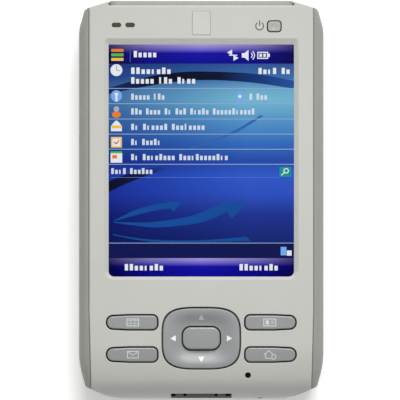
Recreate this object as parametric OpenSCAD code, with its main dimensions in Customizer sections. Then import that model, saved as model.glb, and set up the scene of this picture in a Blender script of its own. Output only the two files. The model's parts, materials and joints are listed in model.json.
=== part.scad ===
// Pocket personal digital assistant with a portrait touch screen, four application keys,
// a rocker ring with a select key, two card slots, a stylus and a swappable battery.
// It lies on its back: +Z comes out of the screen and +Y points at its top edge.
// The origin is the middle of the back face. All sizes are millimetres.

/* [Overall size] */
// Width over the side rails
body_w = 76.3; // [75:0.1:92]
// Length from the bottom edge to the top cap
body_l = 124; // [122:0.5:150]
// Thickness from the back face to the front face
body_t = 20; // [20:0.5:26]

/* [Housing] */
// Wall of the two housings
wall = 1.6; // [1.2:0.1:2]
// Width of each side rail, seen from the front
rail_w = 3.35; // [2.5:0.05:4.2]
// Thickness of the cap along the top edge
cap_t = 1.6; // [1.2:0.1:2.2]
// Height of the seam between the two housings over the back face
parting_z = 10; // [9:0.1:11]
// Radius of the gentle curve that starts the lower front edge
chin_r = 45; // [35:1:60]
// Distance from the bottom edge at which that curve starts
chin_run = 17; // [14:0.5:20]

/* [Display] */
// Width of the visible screen
screen_w = 57.6; // [50:0.1:60]
// Height of the visible screen
screen_h = 72.1; // [66:0.1:76]
// Distance from the top edge to the visible screen
screen_drop = 13.7; // [13:0.1:20]
// Width of the bevel at the sides of the screen
bevel_side = 1.4; // [0.8:0.1:2]
// Width of the bevel above the screen
bevel_top = 1.9; // [0.8:0.1:2.5]
// Width of the bevel below the screen
bevel_bottom = 0.8; // [0.5:0.1:2]
// Thickness of the touch panel
touch_t = 1; // [0.8:0.1:1.3]
// Thickness of the display cell
cell_t = 1.3; // [1:0.1:1.6]
// Thickness of the backlight
backlight_t = 1.1; // [0.8:0.1:1.4]

/* [Keys] */
// Length of an application key
key_w = 15.7; // [13:0.1:16.5]
// Height of an application key
key_h = 4.5; // [4:0.1:5.4]
// Distance of the application keys from the middle line
key_x = 21.45; // [20:0.05:23]
// Half width of the rocker ring
nav_a = 12; // [10:0.1:12.4]
// Half height of the rocker ring
nav_b = 9.4; // [8:0.1:10.4]
// Width of the select key
select_w = 11.9; // [9:0.1:12.4]
// Height of the select key
select_h = 7.3; // [6:0.1:7.8]
// Gap between a key and its opening
key_gap = 0.3; // [0.2:0.05:0.4]
// How far a key stands over the face
key_proud = 0.35; // [0.2:0.05:0.6]
// Travel of a key
key_travel = 0.5; // [0.3:0.05:0.5]
// Width of the power button
power_w = 4.3; // [3:0.1:5]
// Height of the power button
power_h = 3.5; // [3:0.1:4]

/* [Battery, cards and stylus] */
// Width of the battery
battery_w = 46.3; // [38:0.1:47]
// Length of the battery
battery_l = 52.6; // [44:0.1:64]
// Thickness of the battery
battery_t = 7; // [5:0.1:7.2]
// Thickness of the battery door
door_t = 1.5; // [1:0.1:1.8]
// Width of the large card's blank
large_card_w = 42.8; // [42.8]
// Length of the large card's blank
large_card_l = 36.4; // [36.4]
// Thickness of the large card's blank
large_card_t = 3.3; // [3.3]
// Width of the small card's blank
small_card_w = 24; // [24]
// Length of the small card's blank
small_card_l = 32; // [32]
// Thickness of the small card's blank
small_card_t = 2.1; // [2.1]
// Clearance of a card blank in its slot, on each side
card_gap = 0.15; // [0.1:0.05:0.2]
// Radius of the stylus
stylus_r = 2.25; // [1.8:0.05:2.7]
// Length of the stylus
stylus_l = 106; // [90:1:108]
// Radius of the headset jack's bore
jack_r = 1.3; // [1.3]

/* [Boards] */
// Thickness of the main board
board_t = 0.8; // [0.6:0.1:1]
// Thickness of the keypad board
keypad_t = 0.8; // [0.6:0.1:1]

/* [Hidden] */
$fn = 48;

eps = 0.01;            // overlap that joins two shapes of one piece
fine_gap = 0.05;       // clearance of pieces that are set in or slide past each other
silo_gap = 0.03;
boss_gap = 0.08;
contact_block = 5;     // depth of the battery contact block
over = 2;              // how far a cutting shape runs past what it cuts
sheet_t = 0.25;        // sheet metal of the shields, the card cage and the card holder
part_gap = 0.1;        // clearance between neighbouring inner pieces

// The body's edges and the middle shell between the rails
hw = body_w/2;
hl = body_l/2;
core_half = hw - rail_w;
cap_half = hw - 9.25;
end_y = hl - cap_t;                    // top end of the two housings
room_half = core_half - wall;          // inner faces of the side walls
room_top = end_y - wall;
room_bottom = -hl + wall;

// Plan of the right-hand corners: [inset from the side, distance from the end, fillet]
bottom_corner = [[9.35, 0, 20], [1.95, 3.9, 1], [0, 11, 26]];
top_corner = [[0, 8.8, 12], [1.75, 2.6, 1.8], [9.25, 0.3, 0]];

// The lower front edge: a gentle arc that runs into a tight one
chin_len = 10;                                 // run of the gentle arc
chin_angle = asin(chin_len/chin_r);
edge_r = (chin_run - chin_len)/(1 - sin(chin_angle));
chin_c = [-hl + chin_run, body_t - chin_r];
edge_c = chin_c + (chin_r - edge_r)*[-sin(chin_angle), cos(chin_angle)];

// Heights, counted up from the back face
door_gap = 0.2;                                // door to battery
battery_z = door_t + door_gap;
roof_gap = 0.3;                                // battery to the roof of its well
roof_t = 0.8;
roof_z = battery_z + battery_t + roof_gap;
board_z = roof_z + roof_t + 0.4;
board_top = board_z + board_t;

// Heights, counted down from the front face
plate_z = body_t - wall;                       // underside of the face
gasket_t = 0.4;
touch_z = plate_z - gasket_t - touch_t;
cell_z = touch_z - part_gap - cell_t;
backlight_z = cell_z - backlight_t;
tray_t = 0.5;
tray_z = backlight_z - part_gap - tray_t;

// The keypad stack
keypad_z = body_t - 5.7;
keypad_top = keypad_z + keypad_t;
film_t = 0.15;                                 // dome sheet
dome_h = 0.45;
dome_r = 2.2;
dome_top = keypad_top + film_t + dome_h;
plunger_z = dome_top + fine_gap + key_travel;      // lower end of a released key

// Screen edges
screen_top = hl - screen_drop;
screen_bottom = screen_top - screen_h;
screen_x = screen_w/2;
screen_r = 1.7;                                // its two lower corners

// Key places, counted from the bottom edge
nav_y = -hl + 19.05;
key_rows = [-hl + 24, -hl + 14];
keypad_low = -hl + 5;
keypad_high = -hl + 27.8;

// Pieces along the top edge
led_x = [-26.35, -22.1];
led_y = hl - 7.5;
led_size = [2.9, 1.4];
power_at = [22.75, hl - 7.9];
badge_at = [0.1, hl - 6.9];
badge_size = [6, 7.6];
badge_depth = 0.4;

// Slots in the top edge
large_card_x = -2.6;
large_card_z = board_z - 1.4 - large_card_t;
small_card_x = 5.2;
small_card_z = board_top + 0.4;
jack_at = [-14.2, board_top + 1.9];
jack_collar_r = jack_r + 0.6;
stylus_x = 24.6;
stylus_z = 6.9;
stylus_gap = 0.08;
silo_r = stylus_r + 0.6;
face_inset = 0.1;                              // blanks and stylus lie this far in

// Battery well, door and latch
battery_x = -3.35;
battery_gap = 0.25;
well_wall = 1;
battery_low = -hl + 11.4;
battery_high = battery_low + battery_l;
door_half = 27;
door_side_gap = 0.25;
door_high = battery_high + 2;
latch_y = door_high + 4.5;
latch_size = [9, 4.4];
latch_travel = 3;

// Cradle connector in the bottom edge
connector_half = 9.25;
connector_z = [board_z - 2, board_top + 2.2];
connector_gap = 0.15;
board_low = -hl + 9.6;

// Reset hole and its switch
reset_at = [18.4, board_top + 1];
reset_r = 0.6;

// Microphone
mic_at = [14.55, -hl + 7.4];
mic_hole_r = 0.85;
mic_r = 1.5;
mic_h = 1.1;
boot_r = 2.4;

// Screws: housing screws stand in the four corners, board screws on six posts
housing_screw_at = [[room_half - 3.35, -hl + 6.2], [room_half - 2.55, hl - 6.7]];
boss_r = 2.2;
screw_r = 0.9;
insert_r = 1.5;
insert_l = 4;
head_r = 1.75;
head_h = 1.1;
head_pocket = 1.4;
board_half = room_half - 1.15;
post_x = board_half - 1.9;
post_rows = [hl - 20, hl - 52, -hl + 34];
post_r = 1.7;
small_screw_r = 0.6;
small_head_r = 1.2;
small_head_h = 0.7;
keypad_screw_at = [[room_half - 1.95, nav_y], [-room_half + 1.95, nav_y], [-10, -hl + 6.6],
                   [22.4, -hl + 6.6]];
keypad_post_r = 1.2;

// Speaker in the back
speaker_at = [-18.5, battery_high + 9.5];
speaker_r = 4.8;
speaker_h = 2.7;
speaker_gasket_t = 0.3;

// ---------------------------------------------------------------- outline tools

function unit(v) = v/norm(v);
function arc(c, r, from, to, n) =
    [for (i = [0:n]) c + r*[cos(from + (to - from)*i/n), sin(from + (to - from)*i/n)]];

// Points of one corner [x, y, fillet], rounded between its two neighbours
function corner(before, at, after) =
    let (p = [at[0], at[1]], r = at[2],
         u = unit([before[0], before[1]] - p),
         v = unit([after[0], after[1]] - p),
         half = acos(u*v)/2)
    r == 0 ? [p] :
    let (c = p + unit(u + v)*r/sin(half),
         s = p + u*r/tan(half) - c,
         e = p + v*r/tan(half) - c,
         from = atan2(s[1], s[0]),
         turn = (atan2(e[1], e[0]) - from + 540) % 360 - 180)
    arc(c, r, from, from + turn, max(2, ceil(abs(turn)/8)));
function rounded(pts) =
    let (n = len(pts))
    [for (i = [0:n - 1]) each corner(pts[(i + n - 1) % n], pts[i], pts[(i + 1) % n])];
function both_sides(pts) =
    concat(pts, [for (i = [len(pts) - 1:-1:0]) [-pts[i][0], pts[i][1], pts[i][2]]]);

// Superellipse with half axes a and b
nav_power = 3.5;
function superellipse(a, b) =
    [for (t = [0:5:355]) [a*sign(cos(t))*pow(abs(cos(t)), 2/nav_power),
                          b*sign(sin(t))*pow(abs(sin(t)), 2/nav_power)]];

// Outline of a right-hand application key: square inner end, tapered round outer end
function key_points(grow) =
    let (x = key_w/2 + grow, y = key_h/2 + grow)
    rounded([[-x, -y, 1.1 + grow], [1, -y, 20], [x, 0.4 - y, 1.7 + grow],
             [x, y - 0.4, 1.7 + grow], [1, y, 20], [-x, y, 1.1 + grow]]);

// ---------------------------------------------------------------- solid tools

// Box between two values along each axis
module span(x, y, z)
    translate([x[0], y[0], z[0]]) cube([x[1] - x[0], y[1] - y[0], z[1] - z[0]]);
// Upright cylinder at a point, between two heights
module post(at, r, z)
    translate([at[0], at[1], z[0]]) cylinder(r = r, h = z[1] - z[0]);
// Flat shape, upright between two heights
module upright(z)
    translate([0, 0, z[0]]) linear_extrude(z[1] - z[0]) children();
// Flat shape in Y and Z, extruded across the body
module across(x)
    translate([x[0], 0, 0]) rotate([90, 0, 90]) linear_extrude(x[1] - x[0]) children();
// Flat shape in X and Z, extruded along the body
module lengthwise(y)
    translate([0, y[1], 0]) rotate([90, 0, 0]) linear_extrude(y[1] - y[0]) children();
// Round bar along Y at [x, z]
module bar(at, r, y)
    translate([at[0], y[0], at[1]]) rotate([-90, 0, 0]) cylinder(r = r, h = y[1] - y[0]);
module rounded_rect(w, h, r) {
    square([w - 2*r, h], center = true);
    square([w, h - 2*r], center = true);
    for (x = [-1, 1], y = [-1, 1])
        translate([x*(w/2 - r), y*(h/2 - r)]) circle(r = r);
}
module pill(w, h) {
    square([w - h, h], center = true);
    for (x = [-1, 1]) translate([x*(w - h)/2, 0]) circle(r = h/2);
}
// Closed box of sheet metal, open below
module can(x, y, z)
    difference() {
        span(x, y, z);
        span([x[0] + sheet_t, x[1] - sheet_t], [y[0] + sheet_t, y[1] - sheet_t],
             [z[0] - over, z[1] - sheet_t]);
    }

// ---------------------------------------------------------------- body shapes

function chin(inset) =
    concat(arc(chin_c, chin_r - inset, 90, 90 + chin_angle, 4),
           arc(edge_c, edge_r - inset, 90 + chin_angle, 180, 10));

function plan_points(notch) =
    let (side = concat([for (c = bottom_corner) [hw - c[0], c[1] - hl, c[2]]],
                       [for (c = top_corner) [hw - c[0], hl - c[1], c[2]]]))
    rounded(both_sides(notch ? concat(side, [[cap_half, end_y, 0]]) : side));

// Side view between the back and the front, lowered by an inset
module side_view(inset)
    polygon(concat(rounded([[-hl, 4, 0], [-hl, 0, 2.5], [hl, 0, 2], [hl, body_t - inset, 1],
                            [0, body_t - inset, 0]]), chin(inset)));

// The middle shell between the rails, solid
module core() {
    intersection() {
        upright([0, body_t]) polygon(plan_points(true));
        across([-hw, hw]) side_view(0);
        lengthwise([-hl, hl])
            polygon(rounded(both_sides([[core_half, 0, 1.2], [core_half, body_t, 0.6]])));
    }
}

// The room inside the two housings
module room()
    intersection() {
        upright([wall, plate_z])
            polygon(rounded(both_sides([[hw - 10.25, room_bottom, 3],
                                        [room_half, room_bottom + 2.8, 1.5],
                                        [room_half, room_top, 1.5]])));
        across([-hw, hw])
            polygon(concat([[room_bottom, 0], [room_top, 0], [room_top, plate_z]], chin(wall)));
    }

// Everything under the face's own curve, raised by a lift
module under_face(lift)
    across([-hw, hw])
        polygon(concat([[-hl + wall - lift, 0], [hl, 0], [hl, body_t + lift]], chin(-lift)));

// Both application key rows and both sides: children sit at a key with its outer end at +X
module at_key(side, row)
    translate([side*key_x, key_rows[row], 0]) mirror([side < 0 ? 1 : 0, 0, 0]) children();

module at_nav() translate([0, nav_y, 0]) children();

// Housing screw places, in all four corners
module at_housing_screws()
    for (p = housing_screw_at, s = [-1, 1]) translate([s*p[0], p[1], 0]) children();
module at_board_screws()
    for (y = post_rows, s = [-1, 1]) translate([s*post_x, y, 0]) children();

// The slots, the jack's hole and the stylus hole, through the wall and the cap
module top_openings() {
    y = [room_top - 0.5, hl + over];
    span([large_card_x - large_card_w/2 - card_gap, large_card_x + large_card_w/2 + card_gap],
         y, [large_card_z - card_gap, large_card_z + large_card_t + card_gap]);
    span([small_card_x - small_card_w/2 - card_gap, small_card_x + small_card_w/2 + card_gap],
         y, [small_card_z - card_gap, small_card_z + small_card_t + card_gap]);
    bar(jack_at, jack_collar_r + fine_gap, y);
    bar([stylus_x, stylus_z], stylus_r + stylus_gap, y);
}

module connector_opening() {
    half = connector_half + connector_gap;
    span([-half, half], [-hl - over, board_low],
         [connector_z[0] - connector_gap, connector_z[1] + connector_gap]);
    span([-half, half], [-hl - over, -hl + 1.7], [connector_z[1], body_t]);
}

// The bevelled screen window: two crossing wedges, so that every side slopes
module screen_window() {
    low = plate_z - eps;
    high = body_t + eps;
    intersection() {
        lengthwise([screen_bottom - over, screen_top + over])
            polygon([[-screen_x, low], [screen_x, low],
                     [screen_x + bevel_side, high], [-screen_x - bevel_side, high]]);
        across([-hw, hw])
            polygon([[screen_bottom, low], [screen_top, low],
                     [screen_top + bevel_top, high], [screen_bottom - bevel_bottom, high]]);
        upright([0, body_t + 1])
            polygon(rounded([[screen_x + over, screen_top + over, 0],
                             [-screen_x - over, screen_top + over, 0],
                             [-screen_x - bevel_side, screen_bottom - bevel_bottom, screen_r + bevel_side],
                             [screen_x + bevel_side, screen_bottom - bevel_bottom, screen_r + bevel_side]]));
    }
}

// ---------------------------------------------------------------- housing pieces

module front_housing() color("#cbccc6") {
    difference() {
        intersection() {
            core();
            span([-hw, hw], [-hl, hl], [parting_z, body_t]);
        }
        room();
        screen_window();
        for (s = [-1, 1], row = [0, 1])
            at_key(s, row) upright([parting_z, body_t + 1]) polygon(key_points(key_gap));
        at_nav() upright([parting_z, body_t + 1])
            polygon(superellipse(nav_a + key_gap, nav_b + key_gap));
        translate([power_at[0], power_at[1], 0]) upright([parting_z, body_t + 1])
            rounded_rect(power_w + 2*key_gap, power_h + 2*key_gap, 0.9 + key_gap);
        for (x = led_x) translate([x, led_y, 0]) upright([parting_z, body_t + 1])
            pill(led_size[0], led_size[1]);
        translate([badge_at[0], badge_at[1], 0]) upright([body_t - badge_depth, body_t + 1])
            rounded_rect(badge_size[0], badge_size[1], 0.5);
        post(mic_at, mic_hole_r, [parting_z, body_t + 1]);
        top_openings();
        connector_opening();
        bar(reset_at, reset_r, [-hl - 1, room_bottom + 1]);
    }
    difference() {
        intersection() {
            at_housing_screws() post([0, 0], boss_r, [parting_z, plate_z + eps]);
            under_face(0.3 - wall);
        }
        at_housing_screws() {
            post([0, 0], insert_r, [parting_z - 1, parting_z + insert_l]);
            post([0, 0], screw_r + 0.1, [parting_z, parting_z + insert_l + 1]);
        }
    }
    for (p = keypad_screw_at) difference() {
        intersection() {
            post(p, keypad_post_r, [keypad_top, body_t - wall + eps]);
            under_face(-wall + 0.3);
        }
        post(p, small_screw_r, [keypad_top - 1, keypad_top + 1.4]);
    }
}

module battery_room()
    span([battery_x - battery_w/2 - battery_gap, battery_x + battery_w/2 + battery_gap],
         [battery_low - battery_gap, battery_high + battery_gap], [-1, roof_z]);

module rear_housing() color("#8f918d")
    difference() {
        union() {
            difference() {
                intersection() {
                    core();
                    span([-hw, hw], [-hl, hl], [0, parting_z]);
                }
                room();
            }
            // floor over the door and the walls and roof of the battery well
            span([-door_half - 1.3, door_half + 1.3],
                 [room_bottom - eps, door_high + door_side_gap + 1],
                 [wall - eps, wall + 1]);
            span([battery_x - battery_w/2 - battery_gap - well_wall,
                  battery_x + battery_w/2 + battery_gap + well_wall],
                 [battery_low - battery_gap - well_wall, battery_high + battery_gap + well_wall],
                 [wall, roof_z + roof_t]);
            at_housing_screws() post([0, 0], boss_r, [wall - eps, parting_z]);
            at_board_screws() post([0, 0], post_r, [wall - eps, board_z]);
            // ribs under the stylus silo
            for (y = [hl - 12, 4, -hl + 30])
                span([stylus_x - 2, stylus_x + 2], [y - 1, y + 1], [wall - eps, stylus_z - 1.5]);
        }
        battery_room();
        // door recess, open at the bottom edge
        span([-door_half - door_side_gap, door_half + door_side_gap],
             [-hl - 1, door_high + door_side_gap], [-1, door_t + 0.1]);
        // window for the battery contacts
        span([battery_contact_x[0] - 0.4, battery_contact_x[1] + 0.4],
             [battery_high, battery_high + battery_gap + well_wall + eps],
             [board_z - 5.6, roof_z]);
        // latch pocket
        translate([0, latch_y, 0]) upright([-1, wall + 1])
            square([latch_size[0] + latch_travel + 0.6, latch_size[1] + 0.4], center = true);
        // speaker grille: a ring of holes and a middle one
        translate([speaker_at[0], speaker_at[1], 0]) {
            post([0, 0], 0.6, [-1, wall + 1]);
            for (a = [0:60:300]) post([2.4*cos(a), 2.4*sin(a)], 0.6, [-1, wall + 1]);
        }
        at_housing_screws() {
            post([0, 0], screw_r + 0.15, [-1, parting_z + 1]);
            post([0, 0], head_r + 0.15, [-1, head_pocket]);
        }
        at_board_screws() post([0, 0], small_screw_r, [board_z - 3.2, board_z + 1]);
        bar([stylus_x, stylus_z], silo_r + silo_gap, [-hl + 3, room_top]);
        top_openings();
        connector_opening();
    }

// Side rails: the plan's edges outside the seam, with a rounded section
module side_rail(side)
    intersection() {
        upright([0, body_t]) polygon(plan_points(false));
        across([-hw, hw]) side_view(0.6);
        mirror([side < 0 ? 1 : 0, 0, 0]) lengthwise([-hl, hl])
            polygon(rounded([[core_half, 1, 0], [hw - 1.25, 1.6, 2.4], [hw, 6.5, 6],
                             [hw, body_t - 6.5, 7], [hw - 1.2, body_t - 1.3, 2.4],
                             [core_half, body_t - 0.7, 0]]));
    }
module side_rail_left() color("#8c8e8b") side_rail(-1);
module side_rail_right() color("#989a97") side_rail(1);

module top_cap() color("#a3a49f")
    difference() {
        lengthwise([end_y, hl]) translate([0, body_t/2 - 0.2])
            rounded_rect(2*cap_half - 0.4, body_t - 2.6, 2.4);
        top_openings();
    }

module badge_tile() color("#d2d3cc")
    translate([badge_at[0], badge_at[1], 0]) upright([body_t - badge_depth, body_t + 0.15])
        rounded_rect(badge_size[0] - 0.1, badge_size[1] - 0.1, 0.45);

// The door fills its recess and keeps the body's rounded bottom edge
module battery_door() color("#858783") {
    difference() {
        intersection() {
            across([-hw, hw]) side_view(0);
            span([-door_half, door_half], [-hl + fine_gap, door_high], [0, door_t]);
        }
        // thumb grooves
        for (i = [0:4])
            span([-7 + 0.7*i, 7 - 0.7*i], [door_high - 8 - 1.6*i, door_high - 7.3 - 1.6*i],
                 [-1, 0.35]);
    }
}

module battery_latch() color("#5c5e5b")
    translate([-latch_travel/2, latch_y, 0]) {
        difference() {
            upright([0.15, wall + eps]) square(latch_size, center = true);
            for (i = [-2:2])
                span([1.2*i - 0.3, 1.2*i + 0.3], [-1.5, 1.5], [0, 0.5]);
        }
        upright([wall + 0.1, wall + 0.7])
            square([latch_size[0] + 3.6, latch_size[1] + 2], center = true);
        upright([wall, wall + 0.1 + eps])
            square([latch_size[0], latch_size[1]], center = true);
    }

// ---------------------------------------------------------------- lights and keys

// Lens with a light pipe down to its chip
module led_lens(x)
    difference() {
        translate([x, led_y, 0]) {
            upright([plate_z - 0.4, body_t - 0.1]) pill(led_size[0] - 0.06, led_size[1] - 0.06);
            upright([plate_z - 0.4, plate_z]) pill(led_size[0] + 0.9, led_size[1] + 0.9);
            post([0, 0], 0.6, [board_top + 0.85, plate_z - 0.4 + eps]);
        }
        // the flange clears the screw boss beside it
        at_housing_screws() post([0, 0], boss_r + boss_gap, [parting_z, plate_z]);
    }
module led_lens_left() color("#3c352c") led_lens(led_x[0]);
module led_lens_right() color("#3c352c") led_lens(led_x[1]);

module power_button() color("#b9bab5")
    translate([power_at[0], power_at[1], 0]) difference() {
        union() {
            upright([plate_z - 0.8, body_t + key_proud]) rounded_rect(power_w, power_h, 0.9);
            upright([plate_z - 0.8, plate_z - 0.1])
                rounded_rect(power_w + 1.6, power_h + 1.6, 1.2);
            post([0, 0], 0.8, [power_switch_top + fine_gap + key_travel, plate_z - 0.7]);
        }
        translate([0, 0, body_t + key_proud + 1.6]) sphere(r = 1.9, $fn = 64);
    }
power_switch_top = board_top + 4;

// A key: cap in its opening, flange under the face, plunger over its dome
module app_key(side, row) {
    intersection() {
        at_key(side, row) upright([plunger_z + 0.85, body_t + 1]) polygon(key_points(0));
        under_face(key_proud);
    }
    intersection() {
        at_key(side, row) upright([plunger_z + 0.85, plunger_z + 1.5]) polygon(key_points(0.5));
        under_face(-wall - fine_gap);
    }
    at_key(side, row) post([0, 0], 1.6, [plunger_z, plunger_z + 0.9]);
}
module key_calendar() color("#9da19f") app_key(-1, 0);
module key_mail() color("#9da19f") app_key(-1, 1);
module key_contacts() color("#9da19f") app_key(1, 0);
module key_home() color("#9da19f") app_key(1, 1);

// Rocker ring: dished top, flange under the face, stepped hole for the select key
nav_flange_z = dome_top + 0.5;
step_z = body_t - 2.1;
module nav_ring() color("#9b9fa0")
    difference() {
        union() {
            intersection() {
                at_nav() upright([nav_flange_z, body_t + 1]) polygon(superellipse(nav_a, nav_b));
                under_face(key_proud);
            }
            at_nav() upright([nav_flange_z, nav_flange_z + 0.6])
                polygon(superellipse(nav_a + 0.6, nav_b + 0.6));
        }
        at_nav() {
            upright([nav_flange_z - 1, body_t + 1])
                rounded_rect(select_w + 2*key_gap, select_h + 2*key_gap, 2.5 + key_gap);
            upright([nav_flange_z - 1, step_z])
                rounded_rect(select_w + 1.8, select_h + 1.8, 3);
            translate([0, 0, body_t - 0.84 + 53]) sphere(r = 53, $fn = 180);
        }
    }

// Frame that carries the ring and gives way under it
web_z = dome_top - 0.15;
web_t = 0.25;
module nav_web() color("#55585a")
    at_nav() upright([web_z, web_z + web_t]) difference() {
        rounded_rect(select_w + 0.9, select_h + 1.3, 2);
        rounded_rect(select_w - 5.9, select_h - 2.1, 2);
    }

module select_key() color("#a1a4a3")
    at_nav() {
        intersection() {
            upright([plunger_z + 0.9, body_t + 1]) rounded_rect(select_w, select_h, 2.5);
            translate([0, 0, body_t + 0.15 - 70]) sphere(r = 70, $fn = 180);
        }
        upright([step_z - 1, step_z - 0.5]) rounded_rect(select_w + 1.1, select_h + 1.1, 2.9);
        post([0, 0], 1.9, [plunger_z, plunger_z + 1]);
    }

module dome_sheet() color("#b8a25c") {
    difference() {
        upright([keypad_top, keypad_top + film_t])
            polygon(rounded(both_sides([[room_half - 6.3, keypad_low + 0.5, 1],
                                        [room_half - 6.3, -hl + 10, 0],
                                        [room_half - 3.6, -hl + 10, 0],
                                        [room_half - 3.6, keypad_high - 0.5, 1]])));
        post(mic_at, boot_r + 0.3, [keypad_top - 1, keypad_top + 1]);
        for (p = keypad_screw_at) post(p, keypad_post_r + 0.4, [keypad_top - 1, keypad_top + 1]);
    }
    for (p = concat([for (s = [-1, 1], y = key_rows) [s*key_x, y]],
                    [[0, nav_y], [9, nav_y], [-9, nav_y], [0, nav_y + 6.7], [0, nav_y - 6.7]]))
        translate([p[0], p[1], 0]) dome();
}
// Snap dome: the cap of a sphere that is dome_r wide and dome_h high
module dome() {
    r = (dome_r*dome_r + dome_h*dome_h)/(2*dome_h);
    intersection() {
        translate([0, 0, dome_top - r]) sphere(r = r, $fn = 96);
        post([0, 0], dome_r + 1, [keypad_top + film_t - eps, dome_top + 1]);
    }
}

module keypad_board() color("#2f6b43")
    difference() {
        upright([keypad_z, keypad_top])
            polygon(rounded(both_sides([[room_half - 6.4, keypad_low, 1],
                                        [room_half - 6.4, -hl + 9.4, 0],
                                        [room_half - 0.4, -hl + 9.4, 1],
                                        [room_half - 0.4, keypad_high, 1]])));
        for (p = keypad_screw_at) post(p, small_screw_r + 0.15, [keypad_z - 1, keypad_top + 1]);
    }

module keypad_connector() color("#d8cfae")
    span([-22, -10], [board_low + 1.6, board_low + 4.6], [board_top, keypad_z]);

// ---------------------------------------------------------------- display stack

module display_gasket() color("#2b2b2b")
    difference() {
        span([-screen_x - 2, screen_x + 2], [screen_bottom - 1.8, screen_top + 1.9],
             [touch_z + touch_t, plate_z]);
        span([-screen_x - 0.4, screen_x + 0.4], [screen_bottom - 0.4, screen_top + 0.4],
             [touch_z, plate_z + 1]);
    }
module touch_panel() color([0.5, 0.6, 0.7, 0.5])
    span([-screen_x - 2.3, screen_x + 2.3], [screen_bottom - 2.1, screen_top + 2.2],
         [touch_z, touch_z + touch_t]);

cell_half = screen_x + 2.3;
cell_low = screen_bottom - 7.2;
cell_high = screen_top + 2.2;
module lcd_panel() color("#1b3a8a") {
    span([-cell_half, cell_half], [cell_low + 3.4, cell_high], [cell_z, cell_z + cell_t]);
    span([-cell_half, cell_half], [cell_low, cell_low + 3.4 + eps], [cell_z, cell_z + 0.6]);
}
module backlight() color("#e9eef2")
    span([-cell_half, cell_half], [cell_low, cell_high], [backlight_z, cell_z]);

// Pressed tray with a low rim, open at the bottom for the ribbon
rim_t = 0.4;
rim_gap = 0.2;
module display_tray() color("#b5b8ba")
    difference() {
        span([-cell_half - rim_gap - rim_t, cell_half + rim_gap + rim_t],
             [cell_low - rim_gap - rim_t, cell_high + rim_gap + rim_t],
             [tray_z, touch_z - part_gap]);
        span([-cell_half - rim_gap, cell_half + rim_gap],
             [cell_low - rim_gap, cell_high + rim_gap], [tray_z + tray_t, touch_z + 1]);
        span([-ribbon_half - 1, ribbon_half + 1], [cell_low - over, cell_low],
             [tray_z + tray_t, touch_z + 1]);
        for (y = [screen_bottom + 10, screen_bottom + 42], x = [-1, 1])
            span([x*13 - 9, x*13 + 9], [y, y + 22], [tray_z - 1, tray_z + tray_t + eps]);
        // recess over the small card's holder
        span([small_card_x - holder_x - part_gap, small_card_x + holder_x + part_gap],
             [small_card_low - 2 - part_gap, cell_high + over],
             [tray_z - 1, holder_top + part_gap]);
    }

// A ribbon is a thin band that turns down behind the display and back to the board
ribbon_half = 9;
ribbon_t = 0.15;
ribbon_y = cell_low - 1.2;
board_ribbon_z = board_top + 0.5;
module ribbon(x, from, y_out) across(x)
    polygon([from, [y_out, from[1]], [y_out, board_ribbon_z], [cell_low + 2, board_ribbon_z],
             [cell_low + 2, board_ribbon_z + ribbon_t],
             [y_out + ribbon_t, board_ribbon_z + ribbon_t], [y_out + ribbon_t, from[1] - ribbon_t],
             [from[0], from[1] - ribbon_t]]);
module lcd_flex() color("#c77f2e")
    ribbon([-ribbon_half, ribbon_half], [cell_low, cell_z + 0.2], ribbon_y);
module touch_flex() color("#c77f2e")
    ribbon([14, 20], [screen_bottom - 2.1, touch_z + 0.5], ribbon_y - 0.3);

// ---------------------------------------------------------------- boards and electronics

board_high = room_top - 0.3;
module main_board() color("#2c7a4b")
    difference() {
        upright([board_z, board_top])
            polygon(rounded(both_sides([[board_half, board_low, 2],
                                        [board_half, hl - 9.6, 0.8],
                                        [room_half - 5.2, hl - 9.6, 0.8],
                                        [room_half - 5.2, board_high, 0.8]])));
        at_board_screws() post([0, 0], small_screw_r + 0.15, [board_z - 1, board_top + 1]);
    }

processor_x = [-26, 2];
processor_y = [screen_bottom + 4, screen_bottom + 36];
radio_x = [8, 26];
radio_y = [screen_bottom + 12, screen_bottom + 32];
module processor_shield() color("#c3c6c8")
    can(processor_x, processor_y, [board_top, board_top + 2.3]);
module processor() color("#26282a")
    span([processor_x[0] + 3, processor_x[0] + 16], [processor_y[0] + 4, processor_y[0] + 17],
         [board_top, board_top + 1.2]);
module memory_chips() color("#303335")
    for (i = [0:2])
        span([processor_x[1] - 9.5, processor_x[1] - 1.5],
             [processor_y[0] + 2 + 10*i, processor_y[0] + 10 + 10*i],
             [board_top, board_top + 1]);
module radio_shield() color("#c3c6c8") can(radio_x, radio_y, [board_top, board_top + 2]);
module radio_module() color("#26282a")
    span([radio_x[0] + 4, radio_x[1] - 4], [radio_y[0] + 4, radio_y[1] - 4],
         [board_top, board_top + 1.1]);
module board_chips() color("#1f2123") {
    // ribbon connectors, then the sound, power and small chips
    span([-ribbon_half - 1, ribbon_half + 1], [cell_low + 2, cell_low + 5],
         [board_top, board_top + 1]);
    span([13, 21], [cell_low + 2, cell_low + 5], [board_top, board_top + 1]);
    for (i = [0:3])
        span([-27 + 6*i, -23 + 6*i], [processor_y[1] + 4, processor_y[1] + 8],
             [board_top, board_top + 0.9]);
    for (i = [0:2])
        span([9 + 6*i, 13 + 6*i], [radio_y[1] + 3, radio_y[1] + 7], [board_top, board_top + 0.8]);
}

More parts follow.
